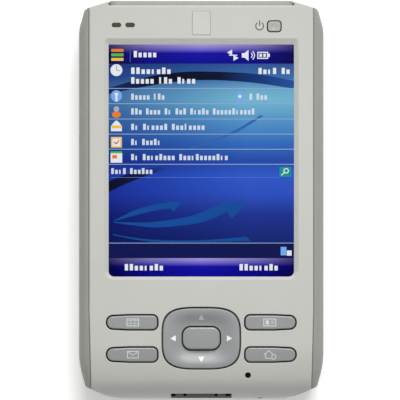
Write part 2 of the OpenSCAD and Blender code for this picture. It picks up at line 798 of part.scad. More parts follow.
// The large card's cage hangs under the board and has its pin header at the far end
cage_side = 1.1;
cage_x = large_card_w/2 + card_gap + cage_side;
large_card_low = hl - face_inset - large_card_l;
module large_card_cage() color("#aab0b4")
    difference() {
        span([large_card_x - cage_x, large_card_x + cage_x], [large_card_low - 8, room_top],
             [large_card_z - card_gap - sheet_t, board_z]);
        span([large_card_x - large_card_w/2 - card_gap, large_card_x + large_card_w/2 + card_gap],
             [large_card_low - 0.3, room_top + 1],
             [large_card_z - card_gap, large_card_z + large_card_t + card_gap]);
        span([large_card_x - large_card_w/2 + 3, large_card_x + large_card_w/2 - 3],
             [large_card_low + 3, room_top - 3], [large_card_z - 2, large_card_z]);
        // the cage clears the contact block of the battery
        span([battery_contact_x[0] - part_gap, battery_contact_x[1] + part_gap],
             [battery_high, battery_contact_y + part_gap], [0, board_z + 1]);
    }
module large_card_blank() color("#43464a")
    difference() {
        span([large_card_x - large_card_w/2, large_card_x + large_card_w/2],
             [large_card_low, hl - face_inset], [large_card_z, large_card_z + large_card_t]);
        span([large_card_x - 5, large_card_x + 5], [hl - 2.6, hl - 1.6],
             [large_card_z - 1, large_card_z + 0.8]);
    }

small_card_low = hl - face_inset - small_card_l;
holder_x = small_card_w/2 + card_gap + 1.1;
holder_top = small_card_z + small_card_t + card_gap + sheet_t;
module small_card_holder() color("#c3c6c8")
    difference() {
        span([small_card_x - holder_x, small_card_x + holder_x], [small_card_low - 2, room_top],
             [board_top, holder_top]);
        span([small_card_x - small_card_w/2 - card_gap, small_card_x + small_card_w/2 + card_gap],
             [small_card_low - 0.3, room_top + 1],
             [small_card_z - card_gap, small_card_z + small_card_t + card_gap]);
    }
module small_card_blank() color("#43464a")
    upright([small_card_z, small_card_z + small_card_t])
        polygon([[small_card_x - small_card_w/2, small_card_low + 3.5],
                 [small_card_x - small_card_w/2 + 3.5, small_card_low],
                 [small_card_x + small_card_w/2, small_card_low],
                 [small_card_x + small_card_w/2, hl - face_inset],
                 [small_card_x - small_card_w/2, hl - face_inset]]);

// ---------------------------------------------------------------- stylus

stylus_high = hl - face_inset;
stylus_low = stylus_high - stylus_l;
module stylus() color("#6f7377")
    translate([stylus_x, stylus_low, stylus_z]) rotate([-90, 0, 0])
        rotate_extrude() polygon([[0, 0], [0.5, 0.25], [0.7, 1.2], [1.5, 6.5],
                                  [stylus_r - 0.25, 8], [stylus_r - 0.25, stylus_l - 16],
                                  [stylus_r, stylus_l - 15.5], [stylus_r, stylus_l - 0.4],
                                  [stylus_r - 0.4, stylus_l], [0, stylus_l]]);
module stylus_silo() color("#3a3d40")
    difference() {
        bar([stylus_x, stylus_z], silo_r, [stylus_low - 2, room_top]);
        bar([stylus_x, stylus_z], stylus_r + stylus_gap, [stylus_low - 0.8, room_top + 1]);
    }

// ---------------------------------------------------------------- power

module battery_pack() color("#2e3033")
    translate([battery_x, (battery_low + battery_high)/2, 0]) upright([battery_z, battery_z + battery_t])
        rounded_rect(battery_w, battery_l, 1.5);
battery_contact_x = [-10, -1];
battery_contact_y = battery_high + contact_block;
module battery_contacts() color("#c9a24b") {
    span(battery_contact_x, [battery_high + battery_gap + well_wall + 0.2, battery_contact_y],
         [board_z - 5.2, board_z]);
    for (i = [0:2])
        span([battery_contact_x[0] + 1.1 + 2.9*i, battery_contact_x[0] + 2.1 + 2.9*i],
             [battery_high + 0.1, battery_high + battery_gap + well_wall + 0.21],
             [board_z - 4.6, board_z - 3.9]);
}
cell_at = [21, nav_y + 2.8];
module backup_cell() color("#c8cbcd") post(cell_at, 3.4, [board_top + 0.3, board_top + 1.7]);
module cell_holder() color("#26282a")
    difference() {
        post(cell_at, 4, [board_top, board_top + 1.5]);
        post(cell_at, 3.5, [board_top + 0.3, board_top + 2]);
    }

// ---------------------------------------------------------------- sound

module speaker() color("#232527")
    post(speaker_at, speaker_r, [wall + speaker_gasket_t, wall + speaker_gasket_t + speaker_h]);
module speaker_gasket() color("#3b3b3b")
    difference() {
        post(speaker_at, speaker_r, [wall, wall + speaker_gasket_t]);
        post(speaker_at, speaker_r - 0.9, [wall - 1, wall + 1]);
    }
module microphone() color("#9a9ea1") post(mic_at, mic_r, [keypad_top, keypad_top + mic_h]);
module microphone_boot() color("#2b2b2b")
    intersection() {
        difference() {
            post(mic_at, boot_r, [keypad_top, plate_z]);
            post(mic_at, mic_r + fine_gap, [keypad_top - 1, keypad_top + mic_h + 0.1]);
            post(mic_at, mic_hole_r, [keypad_top, body_t]);
        }
        under_face(-wall);
    }

jack_deep = hl - 10;
module headset_jack() color("#2a2b2d")
    difference() {
        union() {
            span([jack_at[0] - 2.3, jack_at[0] + 2.3], [jack_deep - 0.3, room_top],
                 [board_top, jack_at[1] + 2.2]);
            bar(jack_at, jack_collar_r, [room_top - eps, hl - fine_gap]);
        }
        bar(jack_at, jack_r, [jack_deep, hl + 1]);
    }

// ---------------------------------------------------------------- bottom edge

connector_face = -hl + 0.4;
tongue_z = (connector_z[0] + connector_z[1])/2;
module cradle_connector() color("#2b2d2f")
    difference() {
        span([-connector_half, connector_half], [connector_face, board_low - 0.1], connector_z);
        difference() {
            span([-connector_half + 1, connector_half - 1], [connector_face - 1, connector_face + 6],
                 [tongue_z - 1.4, tongue_z + 1.4]);
            span([-connector_half + 1.9, connector_half - 1.9],
                 [connector_face + 0.8, connector_face + 7], [tongue_z - 0.4, tongue_z + 0.4]);
        }
    }
contact_pitch = 1.2;
module connector_contacts() color("#d0a84e")
    for (i = [-5:5]) {
        span([contact_pitch*i - 0.3, contact_pitch*i + 0.3], [connector_face + 1.1, connector_face + 6],
             [tongue_z + 0.4, tongue_z + 0.55]);
        span([contact_pitch*i - 0.3, contact_pitch*i + 0.3], [board_low - 0.1, board_low + 1.3],
             [board_top, board_top + 0.15]);
    }

module power_switch() color("#5d6062")
    translate([power_at[0], power_at[1], 0]) {
        upright([board_top, power_switch_top - 0.5]) square(4.4, center = true);
        post([0, 0], 1, [power_switch_top - 0.5 - eps, power_switch_top]);
    }
module reset_switch() color("#5d6062") {
    span([reset_at[0] - 2, reset_at[0] + 2], [board_low + 0.4, board_low + 3.4],
         [board_top, board_top + 2]);
    bar(reset_at, 0.45, [board_low - 0.4, board_low + 0.41]);
}
module indicator_leds() color("#e7e2c8")
    for (x = led_x)
        span([x - 0.8, x + 0.8], [led_y - 0.4, led_y + 0.4], [board_top, board_top + 0.8]);
module antenna() color("#c08a3a") {
    span([board_half - 7, board_half - 1], [board_low + 1.2, board_low + 11],
         [board_top + 2.2, board_top + 2.5]);
    for (y = [board_low + 1.2, board_low + 5])
        span([board_half - 1.3, board_half - 1], [y, y + 1.5], [board_top, board_top + 2.21]);
}

// ---------------------------------------------------------------- fasteners

module housing_screws() color("#b7babc")
    at_housing_screws() difference() {
        union() {
            post([0, 0], head_r, [head_pocket - head_h, head_pocket]);
            post([0, 0], screw_r, [head_pocket - eps, parting_z + 3.6]);
        }
        cylinder(r = 0.8, h = 1.6, center = true, $fn = 6);
    }
module screw_inserts() color("#c4a04a")
    at_housing_screws() difference() {
        post([0, 0], insert_r, [parting_z, parting_z + insert_l]);
        post([0, 0], screw_r + 0.02, [parting_z - 1, parting_z + insert_l + 1]);
    }
module board_screws() color("#b7babc")
    at_board_screws() {
        post([0, 0], small_head_r, [board_top, board_top + small_head_h]);
        post([0, 0], small_screw_r - 0.02, [board_z - 3, board_top + eps]);
    }
module keypad_screws() color("#b7babc")
    for (p = keypad_screw_at) {
        post(p, small_head_r, [keypad_z - small_head_h, keypad_z]);
        post(p, small_screw_r - 0.02, [keypad_z - eps, keypad_top + 1.2]);
    }

front_housing();
rear_housing();
side_rail_left();
side_rail_right();
top_cap();
badge_tile();
battery_door();
battery_latch();
led_lens_left();
led_lens_right();
power_button();
key_calendar();
key_mail();
key_contacts();
key_home();
nav_ring();
nav_web();
select_key();
dome_sheet();
keypad_board();
keypad_connector();
display_gasket();
touch_panel();
lcd_panel();
backlight();
display_tray();
lcd_flex();
touch_flex();
main_board();
processor_shield();
processor();
memory_chips();
radio_shield();
radio_module();
board_chips();
large_card_cage();
large_card_blank();
small_card_holder();
small_card_blank();
stylus();
stylus_silo();
battery_pack();
battery_contacts();
backup_cell();
cell_holder();
speaker();
speaker_gasket();
microphone();
microphone_boot();
headset_jack();
cradle_connector();
connector_contacts();
power_switch();
reset_switch();
indicator_leds();
antenna();
housing_screws();
screw_inserts();
board_screws();
keypad_screws();
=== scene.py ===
"""A pocket personal digital assistant, lying on its back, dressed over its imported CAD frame.

Plan sizes are written in millimetres and become metres when a mesh is made.
"""
import json
import math

import bmesh
import bpy
import numpy as np
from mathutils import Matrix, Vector
from mathutils.geometry import delaunay_2d_cdt
from mathutils.kdtree import KDTree


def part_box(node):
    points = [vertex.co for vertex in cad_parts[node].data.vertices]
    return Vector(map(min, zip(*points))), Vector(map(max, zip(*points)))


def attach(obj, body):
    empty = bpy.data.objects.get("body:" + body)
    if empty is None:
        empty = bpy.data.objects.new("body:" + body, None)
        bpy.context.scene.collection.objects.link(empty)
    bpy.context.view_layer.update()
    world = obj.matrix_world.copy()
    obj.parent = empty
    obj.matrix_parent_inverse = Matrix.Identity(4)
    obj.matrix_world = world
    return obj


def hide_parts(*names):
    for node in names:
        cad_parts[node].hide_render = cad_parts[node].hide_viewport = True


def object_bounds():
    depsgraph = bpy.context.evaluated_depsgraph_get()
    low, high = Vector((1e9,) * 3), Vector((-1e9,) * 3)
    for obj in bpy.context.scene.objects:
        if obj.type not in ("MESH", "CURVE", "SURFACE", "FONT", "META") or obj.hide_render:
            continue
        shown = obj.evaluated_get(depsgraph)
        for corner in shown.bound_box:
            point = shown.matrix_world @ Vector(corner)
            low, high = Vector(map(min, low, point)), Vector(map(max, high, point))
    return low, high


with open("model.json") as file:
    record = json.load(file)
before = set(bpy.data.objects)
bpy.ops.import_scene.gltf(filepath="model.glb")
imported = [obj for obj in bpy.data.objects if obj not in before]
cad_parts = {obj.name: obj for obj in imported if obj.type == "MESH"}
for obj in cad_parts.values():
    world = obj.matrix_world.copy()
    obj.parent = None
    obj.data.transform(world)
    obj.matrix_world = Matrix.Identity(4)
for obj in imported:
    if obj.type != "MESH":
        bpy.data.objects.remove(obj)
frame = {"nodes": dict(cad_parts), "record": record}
cad_low, cad_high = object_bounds()

MM = 0.001
scene = bpy.context.scene


def added(name, data):
    """A new object in the scene."""
    obj = bpy.data.objects.new(name, data)
    scene.collection.objects.link(obj)
    return obj


def box_mm(node):
    """Lowest and highest corner of a CAD node, in millimetres."""
    low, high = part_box(node)
    return [v / MM for v in low], [v / MM for v in high]


# ---- the body's sizes

HALF_W = cad_high[0] / MM
HALF_L = cad_high[1] / MM
FACE_Z = 20.0  # front face
WALL = 1.6
PARTING_Z = box_mm("rear_housing")[1][2]
CORE_X = 34.8  # seam between the shell and a side rail
CAP_X = 28.8  # half width of the notch for the top cap
CAP_Y = box_mm("top_cap")[0][1]
KEY_LIFT = 0.35  # how far keys stand over the face

# The lower front edge: a gentle arc that runs into a tight one
CHIN_Y = 17 - HALF_L
GENTLE_R = 45.0
TIGHT_R = 9.0
GENTLE_TURN = math.asin(10 / GENTLE_R)
GENTLE_C = (CHIN_Y, FACE_Z - GENTLE_R)
TIGHT_C = (GENTLE_C[0] - (GENTLE_R - TIGHT_R) * math.sin(GENTLE_TURN),
           GENTLE_C[1] + (GENTLE_R - TIGHT_R) * math.cos(GENTLE_TURN))
TIGHT_V = CHIN_Y - GENTLE_R * GENTLE_TURN


# ---- surfaces

class Face:
    """The front face with its chin, moved in by an inset.

    Its flat coordinates are x and the length v along the side view."""

    def __init__(self, inset=0.0):
        self.inset = inset

    def from_flat(self, x, v):
        if v >= CHIN_Y:
            return Vector((x, v, FACE_Z - self.inset)), Vector((0, 0, 1))
        if v >= TIGHT_V:
            turn, centre, radius = (CHIN_Y - v) / GENTLE_R, GENTLE_C, GENTLE_R
        else:
            turn = GENTLE_TURN + (TIGHT_V - v) / TIGHT_R
            centre, radius = TIGHT_C, TIGHT_R
        normal = Vector((0, -math.sin(turn), math.cos(turn)))
        radius -= self.inset
        return Vector((x, centre[0] + radius * normal.y, centre[1] + radius * normal.z)), normal

    def at(self, x, y):
        if y >= CHIN_Y:
            return self.from_flat(x, y)
        turn = math.asin(min(1, (CHIN_Y - y) / (GENTLE_R - self.inset)))
        if turn <= GENTLE_TURN:
            return self.from_flat(x, CHIN_Y - GENTLE_R * turn)
        turn = math.asin(min(1, (TIGHT_C[0] - y) / (TIGHT_R - self.inset)))
        return self.from_flat(x, TIGHT_V - TIGHT_R * (turn - GENTLE_TURN))

    def flat(self, p):
        if p.y >= CHIN_Y:
            return p.x, p.y
        turn = math.atan2(GENTLE_C[0] - p.y, p.z - GENTLE_C[1])
        if turn <= GENTLE_TURN:
            return p.x, CHIN_Y - GENTLE_R * turn
        turn = math.atan2(TIGHT_C[0] - p.y, p.z - TIGHT_C[1])
        return p.x, TIGHT_V - TIGHT_R * (turn - GENTLE_TURN)


class Field:
    """A surface given by its height over x and y, which are its flat coordinates."""

    def __init__(self, height):
        self.height = height

    def at(self, x, y):
        step = 0.01
        slope_x = (self.height(x + step, y) - self.height(x - step, y)) / (2 * step)
        slope_y = (self.height(x, y + step) - self.height(x, y - step)) / (2 * step)
        return (Vector((x, y, self.height(x, y))),
                Vector((-slope_x, -slope_y, 1)).normalized())

    def flat(self, p):
        return p.x, p.y

    def from_flat(self, x, y):
        return self.at(x, y)


def level(z):
    """A flat surface at one height."""
    return Field(lambda x, y: z)


FACE = Face()
UNDER_FACE = Face(WALL)
KEY_FACE = Face(-KEY_LIFT)


# ---- outlines
# An outline is a list of (x, y, normal x, normal y), anticlockwise, normals pointing out.

SHARPEST = 0.12  # smallest corner radius


def corner(before, at, after, turn_step=9.0):
    """One rounded corner [x, y, radius] between its neighbours."""
    p = Vector(at[:2])
    radius = max(at[2], SHARPEST)
    u = (Vector(before[:2]) - p).normalized()
    v = (Vector(after[:2]) - p).normalized()
    half = math.acos(max(-1, min(1, u.dot(v)))) / 2
    centre = p + (u + v).normalized() * radius / math.sin(half)
    start = p + u * radius / math.tan(half) - centre
    turn = (1 if u.x * v.y < u.y * v.x else -1) * (math.pi - 2 * half)
    first = math.atan2(start.y, start.x)
    count = max(2, math.ceil(abs(math.degrees(turn)) / turn_step))
    points = []
    for i in range(count + 1):
        a = first + turn * i / count
        n = Vector((math.cos(a), math.sin(a))) * (1 if turn > 0 else -1)
        q = centre + radius * Vector((math.cos(a), math.sin(a)))
        points.append((q.x, q.y, n.x, n.y))
    return points


def rounded(corners, turn_step=9.0):
    n = len(corners)
    outline = []
    for i in range(n):
        outline += corner(corners[i - 1], corners[i], corners[(i + 1) % n], turn_step)
    return outline


def mirrored(corners):
    """Right-hand corners from the bottom up, then the same ones on the left."""
    return corners + [[-c[0], *c[1:]] for c in reversed(corners)]


def dense(outline, step):
    """The outline with extra points on its long straights."""
    out = []
    for a, b in zip(outline, outline[1:] + outline[:1]):
        out.append(a)
        length = math.hypot(b[0] - a[0], b[1] - a[1])
        count = int(length / step((a[1] + b[1]) / 2))
        for i in range(1, count + 1):
            t = i / (count + 1)
            out.append(tuple(a[k] + t * (b[k] - a[k]) for k in range(4)))
    return out


def chin_step(y):
    """Longest step between outline points: short where the chin curves."""
    return 0.8 if y < CHIN_Y + 3 else 9.0


def rectangle(w, h, r, at=(0, 0), turn_step=9.0):
    x, y = w / 2, h / 2
    return moved(rounded([[x, -y, r], [x, y, r], [-x, y, r], [-x, -y, r]], turn_step), at)


def ellipse(a, b, power, at, count):
    """A superellipse: power 2 is a plain ellipse, and more is squarer."""
    out = []
    for i in range(count):
        t = math.tau * i / count
        c, s = math.cos(t), math.sin(t)
        x = math.copysign(a * abs(c) ** (2 / power), c)
        y = math.copysign(b * abs(s) ** (2 / power), s)
        n = Vector((math.copysign(abs(x / a) ** (power - 1) / a, x),
                    math.copysign(abs(y / b) ** (power - 1) / b, y))).normalized()
        out.append((x + at[0], y + at[1], n.x, n.y))
    return out


def circle(r, at):
    return ellipse(r, r, 2.0, at, 32)


def moved(outline, at):
    return [(x + at[0], y + at[1], nx, ny) for x, y, nx, ny in outline]


def flipped(outline):
    return [(-x, y, -nx, ny) for x, y, nx, ny in reversed(outline)]


def key_outline(grow, side, row_y):
    """Application key: rounded inner end, tapered and rounder outer end."""
    x, y = KEY_W / 2 + grow, KEY_H / 2 + grow
    shape = rounded([[-x, -y, 1.5 + grow], [1, -y, 20], [x, 0.35 - y, 1.8 + grow],
                     [x, y - 0.35, 1.8 + grow], [1, y, 20], [-x, y, 1.5 + grow]])
    shape = shape if side > 0 else flipped(shape)
    return dense(moved(shape, (side * KEY_X, row_y)), lambda at_y: 1.2)


# ---- mesh building

TOUCH = 1e-4  # points closer than this are one
SEED_ROOM = 0.45  # seeds keep this far from the edges


class Builder:
    """Gathers points and faces, with a normal for each corner where it is known."""

    def __init__(self):
        self.points = []
        self.faces = []
        self.normals = []

    def row(self, points, other=None):
        """Indices of new points. A point that touches its partner isn't added but shared:
        the partner is the one before it, or the one at its place in another row."""
        out = []
        for k, p in enumerate(points):
            partner = other[k] if other else out[-1] if out else None
            if partner is not None and (self.points[partner] - p).length < TOUCH:
                out.append(partner)
                continue
            self.points.append(Vector(p))
            out.append(len(self.points) - 1)
        return out

    def face(self, corners):
        """corners: (index, normal or None) in order."""
        kept = []
        for c in corners:
            if not kept or kept[-1][0] != c[0]:
                kept.append(c)
        while len(kept) > 1 and kept[0][0] == kept[-1][0]:
            kept.pop()
        if len({c[0] for c in kept}) < 3 or len({c[0] for c in kept}) != len(kept):
            return
        self.faces.append([c[0] for c in kept])
        self.normals.append({c[0]: c[1] for c in kept if c[1] is not None})

    def strip(self, a, b, na=None, nb=None):
        """Quads between two closed rows, with normals along each."""
        n = len(a)
        na = na or [None] * n
        nb = nb or [None] * n
        for i in range(n):
            j = (i + 1) % n
            self.face([(a[i], na[i]), (a[j], na[j]), (b[j], nb[j]), (b[i], nb[i])])

    def rounding(self, rows, normals, shared):
        """Strips along rows from rim_rows. Returns the first row and the last."""
        first = last = self.row(rows[0])
        for k in range(1, len(rows)):
            now = self.row(rows[k], last if shared else None)
            self.strip(last, now, normals[k - 1], normals[k])
            last = now
        return first, last

    def fill(self, surface, rows, seeds=(), normal_sign=1, smooth=True):
        """Covers a surface between closed rows: the first is the rim, the others are holes."""
        flat, edges, owners, loops = [], [], [], []
        for row in rows:
            kept = [i for k, i in enumerate(row) if i != row[k - 1]]
            start = len(flat)
            loops.append([Vector(surface.flat(self.points[i])) for i in kept])
            flat += loops[-1]
            owners += kept
            edges += [(start + k, start + (k + 1) % len(kept)) for k in range(len(kept))]
        first_seed = len(flat)
        if seeds:
            tree = KDTree(first_seed)
            for i, q in enumerate(flat):
                tree.insert((q.x, q.y, 0), i)
            tree.balance()
            flat += [Vector(s) for s, kept in zip(seeds, between(seeds, loops))
                     if kept and tree.find((*s, 0))[2] > SEED_ROOM]
        out, _, faces, originals, _, _ = delaunay_2d_cdt(flat, edges, [], 0, 1e-7)
        index = []
        for p, sources in zip(out, originals):
            old = [k for k in sources if k < first_seed]
            if old:
                index.append(owners[old[0]])
                continue
            self.points.append(surface.from_flat(p.x, p.y)[0])
            index.append(len(self.points) - 1)
        middles = [sum((out[k] for k in f), Vector((0, 0))) / len(f) for f in faces]
        for f, kept in zip(faces, between(middles, loops)):
            if not kept:
                continue
            corners = []
            for k in f:
                n = surface.from_flat(*out[k])[1] * normal_sign if smooth else None
                corners.append((index[k], n))
            self.face(corners)

    def build(self, name, place=None):
        """The mesh object, in metres, with its corner normals set."""
        place = place or (lambda p: p)
        bm = bmesh.new()
        verts = [bm.verts.new(place(p) * MM) for p in self.points]
        layer = bm.faces.layers.int.new("source")
        for i, f in enumerate(self.faces):
            try:
                bm.faces.new([verts[k] for k in f])[layer] = i
            except ValueError:
                continue
        number = {v: i for i, v in enumerate(verts)}
        loose = [v for v in bm.verts if not v.link_faces]
        bmesh.ops.recalc_face_normals(bm, faces=bm.faces)
        corner_normals = []
        for f in bm.faces:
            f.normal_update()
            given = self.normals[f[layer]]
            for v in f.verts:
                n = given.get(number[v])
                if n is None:
                    corner_normals.append(f.normal.copy())
                    continue
                n = place(n).normalized()
                corner_normals.append(n if n.dot(f.normal) > -0.3 else -n)
        bmesh.ops.delete(bm, geom=loose, context="VERTS")
        bm.faces.layers.int.remove(layer)
        mesh = bpy.data.meshes.new(name)
        bm.to_mesh(mesh)
        bm.free()
        mesh.polygons.foreach_set("use_smooth", [True] * len(mesh.polygons))
        mesh.normals_split_custom_set(corner_normals)
        return added(name, mesh)


def inside(points, loop):
    """For each flat point, is it in the closed loop?"""
    p = np.array([tuple(q) for q in points])
    a = np.array([tuple(q) for q in loop])
    b = np.roll(a, 1, axis=0)
    hits = np.zeros(len(p), bool)
    for (ax, ay), (bx, by) in zip(a, b):
        if ay == by:
            continue
        crosses = (ay > p[:, 1]) != (by > p[:, 1])
        hits ^= crosses & (p[:, 0] < (bx - ax) * (p[:, 1] - ay) / (by - ay) + ax)
    return hits


def between(points, loops):
    """For each flat point, is it in the first loop and in none of the others?"""
    kept = inside(points, loops[0])
    for loop in loops[1:]:
        kept &= ~inside(points, loop)
    return kept


def turned(a, b, t):
    """The unit vector a share t of the way from a to b."""
    angle = a.angle(b, 0)
    if angle < 1e-4:
        return a.copy()
    return (a * math.sin((1 - t) * angle) + b * math.sin(t * angle)) / math.sin(angle)


def rim_rows(outline, surface, foot, radius, steps, hole):
    """Rows of points and normals that round the edge between a surface and a wall.

    foot holds the wall's lower points, and hole says that the wall faces inward."""
    rows = [[] for _ in range(steps + 1)]
    normals = [[] for _ in range(steps + 1)]
    for (x, y, nx, ny), low in zip(outline, foot):
        p, up = surface.at(x, y)
        out = Vector((nx, ny, 0)) * (-1 if hole else 1)
        down = low - p
        if down.length > 1e-6 and (down.x or down.y):
            along = Vector((-ny, nx, 0))
            wall = along.cross(down).normalized()
            out = wall if wall.dot(out) > 0 else -wall
        near = max(0.02, 1 + up.dot(out))
        centre = p - (up + out) * radius / near
        for k in range(steps + 1):
            n = turned(up, out, k / steps)
            rows[k].append(centre + radius * n)
            normals[k].append(n)
    return rows, normals


def foot_points(outline, low):
    """Points under an outline, where low gives the height at x and y."""
    return [Vector((x, y, low(x, y))) for x, y, _, _ in outline]


def slab(name, surface, outline, low, rim=0.3, holes=(), under=None, seeds=(), steps=3,
         skirt=None, place=None):
    """A closed piece with rounded edges: a top surface, walls and an underside.

    holes: dicts with outline, rim and an optional bevel: the outline and height of its foot.
    low gives the foot of the outer wall. under is the underside's surface, level with low
    if it is left out. skirt is the outline of the inner face of the outer wall."""
    b = Builder()
    foot = foot_points(outline, low)
    rows, normals = rim_rows(outline, surface, foot, rim, steps, False)
    wall_points = [Vector((r.x, r.y, f.z)) for r, f in zip(rows[-1], foot)]
    first, last = b.rounding(rows, normals, True)
    top_rows = [first]
    outer_foot = b.row(wall_points, last)
    b.strip(last, outer_foot, normals[-1], normals[-1])
    under = under or Field(low)
    if skirt:
        inner_low = b.row(foot_points(skirt, low))
        inner_high = b.row([under.at(x, y)[0] for x, y, _, _ in skirt])
        inward = [Vector((-nx, -ny, 0)) for _, _, nx, ny in skirt]
        b.strip(inner_low, inner_high, inward, inward)
        b.fill(level(0), [outer_foot, inner_low], smooth=False)
    under_rows = [inner_high if skirt else outer_foot]
    for hole in holes:
        edge = hole["outline"]
        inner, shelf = hole.get("bevel", (edge, None))
        feet = [Vector((x, y, shelf if shelf else under.at(x, y)[0].z)) for x, y, _, _ in inner]
        rows, normals = rim_rows(edge, surface, feet, hole["rim"], steps, True)
        first, last = b.rounding(rows, normals, False)
        top_rows.append(first)
        wall = normals[-1]
        if shelf:
            ledge = b.row(feet)
            b.strip(last, ledge, wall, wall)
            last = ledge
            wall = [Vector((-nx, -ny, 0)) for _, _, nx, ny in inner]
        low_row = b.row([under.at(b.points[i].x, b.points[i].y)[0] for i in last])
        b.strip(last, low_row, wall, wall)
        under_rows.append(low_row)
    b.fill(surface, top_rows, seeds)
    b.fill(under, under_rows, seeds if isinstance(under, Face) else (), -1)
    return b.build(name, place)


# ---- materials

def linear(colour):
    """A 0-255 display colour as linear RGBA."""
    out = []
    for c in colour:
        c /= 255
        out.append(c / 12.92 if c <= 0.04045 else ((c + 0.055) / 1.055) ** 2.4)
    return (*out, 1.0)


def dimmed(colour, share):
    return tuple(min(1, c * share) for c in colour[:3]) + (1,)


def shades(stops):
    """Ramp stops with display colours, made linear."""
    return [(at, linear(colour)) for at, colour in stops]


class Finish:
    """A procedural material in the making, with short ways to add and link its nodes."""

    def __init__(self, name):
        self.material = bpy.data.materials.new(name)
        self.material.use_nodes = True
        self.nodes = self.material.node_tree.nodes
        self.link = self.material.node_tree.links.new
        self.shader = self.nodes["Principled BSDF"]
        self.place = self.nodes.new("ShaderNodeTexCoord").outputs["Object"]

    def set(self, **values):
        """Even values on the shader itself. An underscore stands for a space."""
        for key, value in values.items():
            self.shader.inputs[key.replace("_", " ")].default_value = value

    def noise(self, scale, detail, place=None):
        node = self.nodes.new("ShaderNodeTexNoise")
        node.inputs["Scale"].default_value = scale
        node.inputs["Detail"].default_value = detail
        self.link(place or self.place, node.inputs["Vector"])
        return node.outputs["Fac"]

    def ramp(self, value, stops, target=None):
        """A colour ramp over a value, linked to the shader's target input if one is named."""
        node = self.nodes.new("ShaderNodeValToRGB")
        elements = node.color_ramp.elements
        while len(elements) < len(stops):
            elements.new(0.5)
        for element, (at, colour) in zip(elements, stops):
            element.position = at
            element.color = colour
        self.link(value, node.inputs["Fac"])
        if target:
            self.link(node.outputs["Color"], self.shader.inputs[target])
        return node.outputs["Color"]

    def remap(self, value, **limits):
        node = self.nodes.new("ShaderNodeMapRange")
        for key, limit in limits.items():
            node.inputs[key.replace("_", " ")].default_value = limit
        self.link(value, node.inputs["Value"])
        return node.outputs["Result"]

    def gloss(self, value, low, high):
        """Roughness that follows a value."""
        self.link(self.remap(value, To_Min=low, To_Max=high), self.shader.inputs["Roughness"])

    def along(self, axis, low, high):
        """0 to 1 between two places on an axis, in millimetres."""
        split = self.nodes.new("ShaderNodeSeparateXYZ")
        self.link(self.place, split.inputs["Vector"])
        return self.remap(split.outputs[axis], From_Min=low * MM, From_Max=high * MM)


def plastic(name, colour, rough=0.45, depth=0.05, vary=0.04, coat=0.0, specular=0.5):
    """Moulded or painted surface: fine grain as bump, slight cloudiness in colour and gloss."""
    m = Finish(name)
    base = linear(colour)
    m.ramp(m.noise(130, 4), [(0.3, dimmed(base, 1 - vary)), (0.7, dimmed(base, 1 + vary))],
           "Base Color")
    grain = m.noise(2600, 3)
    m.gloss(grain, max(0.02, rough - 0.06), rough + 0.06)
    bump = m.nodes.new("ShaderNodeBump")
    bump.inputs["Strength"].default_value = depth
    bump.inputs["Distance"].default_value = 0.0001
    m.link(grain, bump.inputs["Height"])
    m.link(bump.outputs["Normal"], m.shader.inputs["Normal"])
    m.set(Specular_IOR_Level=specular, Coat_Weight=coat, Coat_Roughness=0.12)
    return m.material


def metal(name, colour, rough=0.3, stretch=(1, 1, 1)):
    """Sheet or plated metal with a faint drawn grain."""
    m = Finish(name)
    scaling = m.nodes.new("ShaderNodeMapping")
    scaling.inputs["Scale"].default_value = stretch
    m.link(m.place, scaling.inputs["Vector"])
    grain = m.noise(900, 2, scaling.outputs["Vector"])
    base = linear(colour)
    m.ramp(grain, [(0.3, dimmed(base, 0.88)), (0.7, base)], "Base Color")
    m.gloss(grain, rough * 0.8, rough * 1.25)
    m.set(Metallic=1.0)
    return m.material


def lit(name, colour):
    """A display colour that shines by itself."""
    m = Finish(name)
    base = linear(colour)
    m.ramp(m.noise(3200, 0), [(0.35, dimmed(base, 0.96)), (0.65, base)], "Emission Color")
    m.set(Emission_Strength=1.0, Base_Color=(0, 0, 0, 1), Specular_IOR_Level=0.0)
    return m.material


def lit_ramp(name, axis, low, high, stops, across=None):
    """A display colour that changes along an axis between two places, in millimetres.

    across: stops over the screen's width, from left to right, that shade the first ones."""
    m = Finish(name)
    colour = m.ramp(m.along(axis, low, high), shades(stops))
    if across:
        side = m.ramp(m.along("X", -SCREEN_X, SCREEN_X), shades(across))
        mix = m.nodes.new("ShaderNodeMix")
        mix.data_type = "RGBA"
        mix.blend_type = "MULTIPLY"
        mix.inputs["Factor"].default_value = 1.0
        m.link(colour, mix.inputs[6])
        m.link(side, mix.inputs[7])
        colour = mix.outputs[2]
    m.link(colour, m.shader.inputs["Emission Color"])
    m.set(Emission_Strength=1.0, Base_Color=(0, 0, 0, 1), Specular_IOR_Level=0.0)
    return m.material


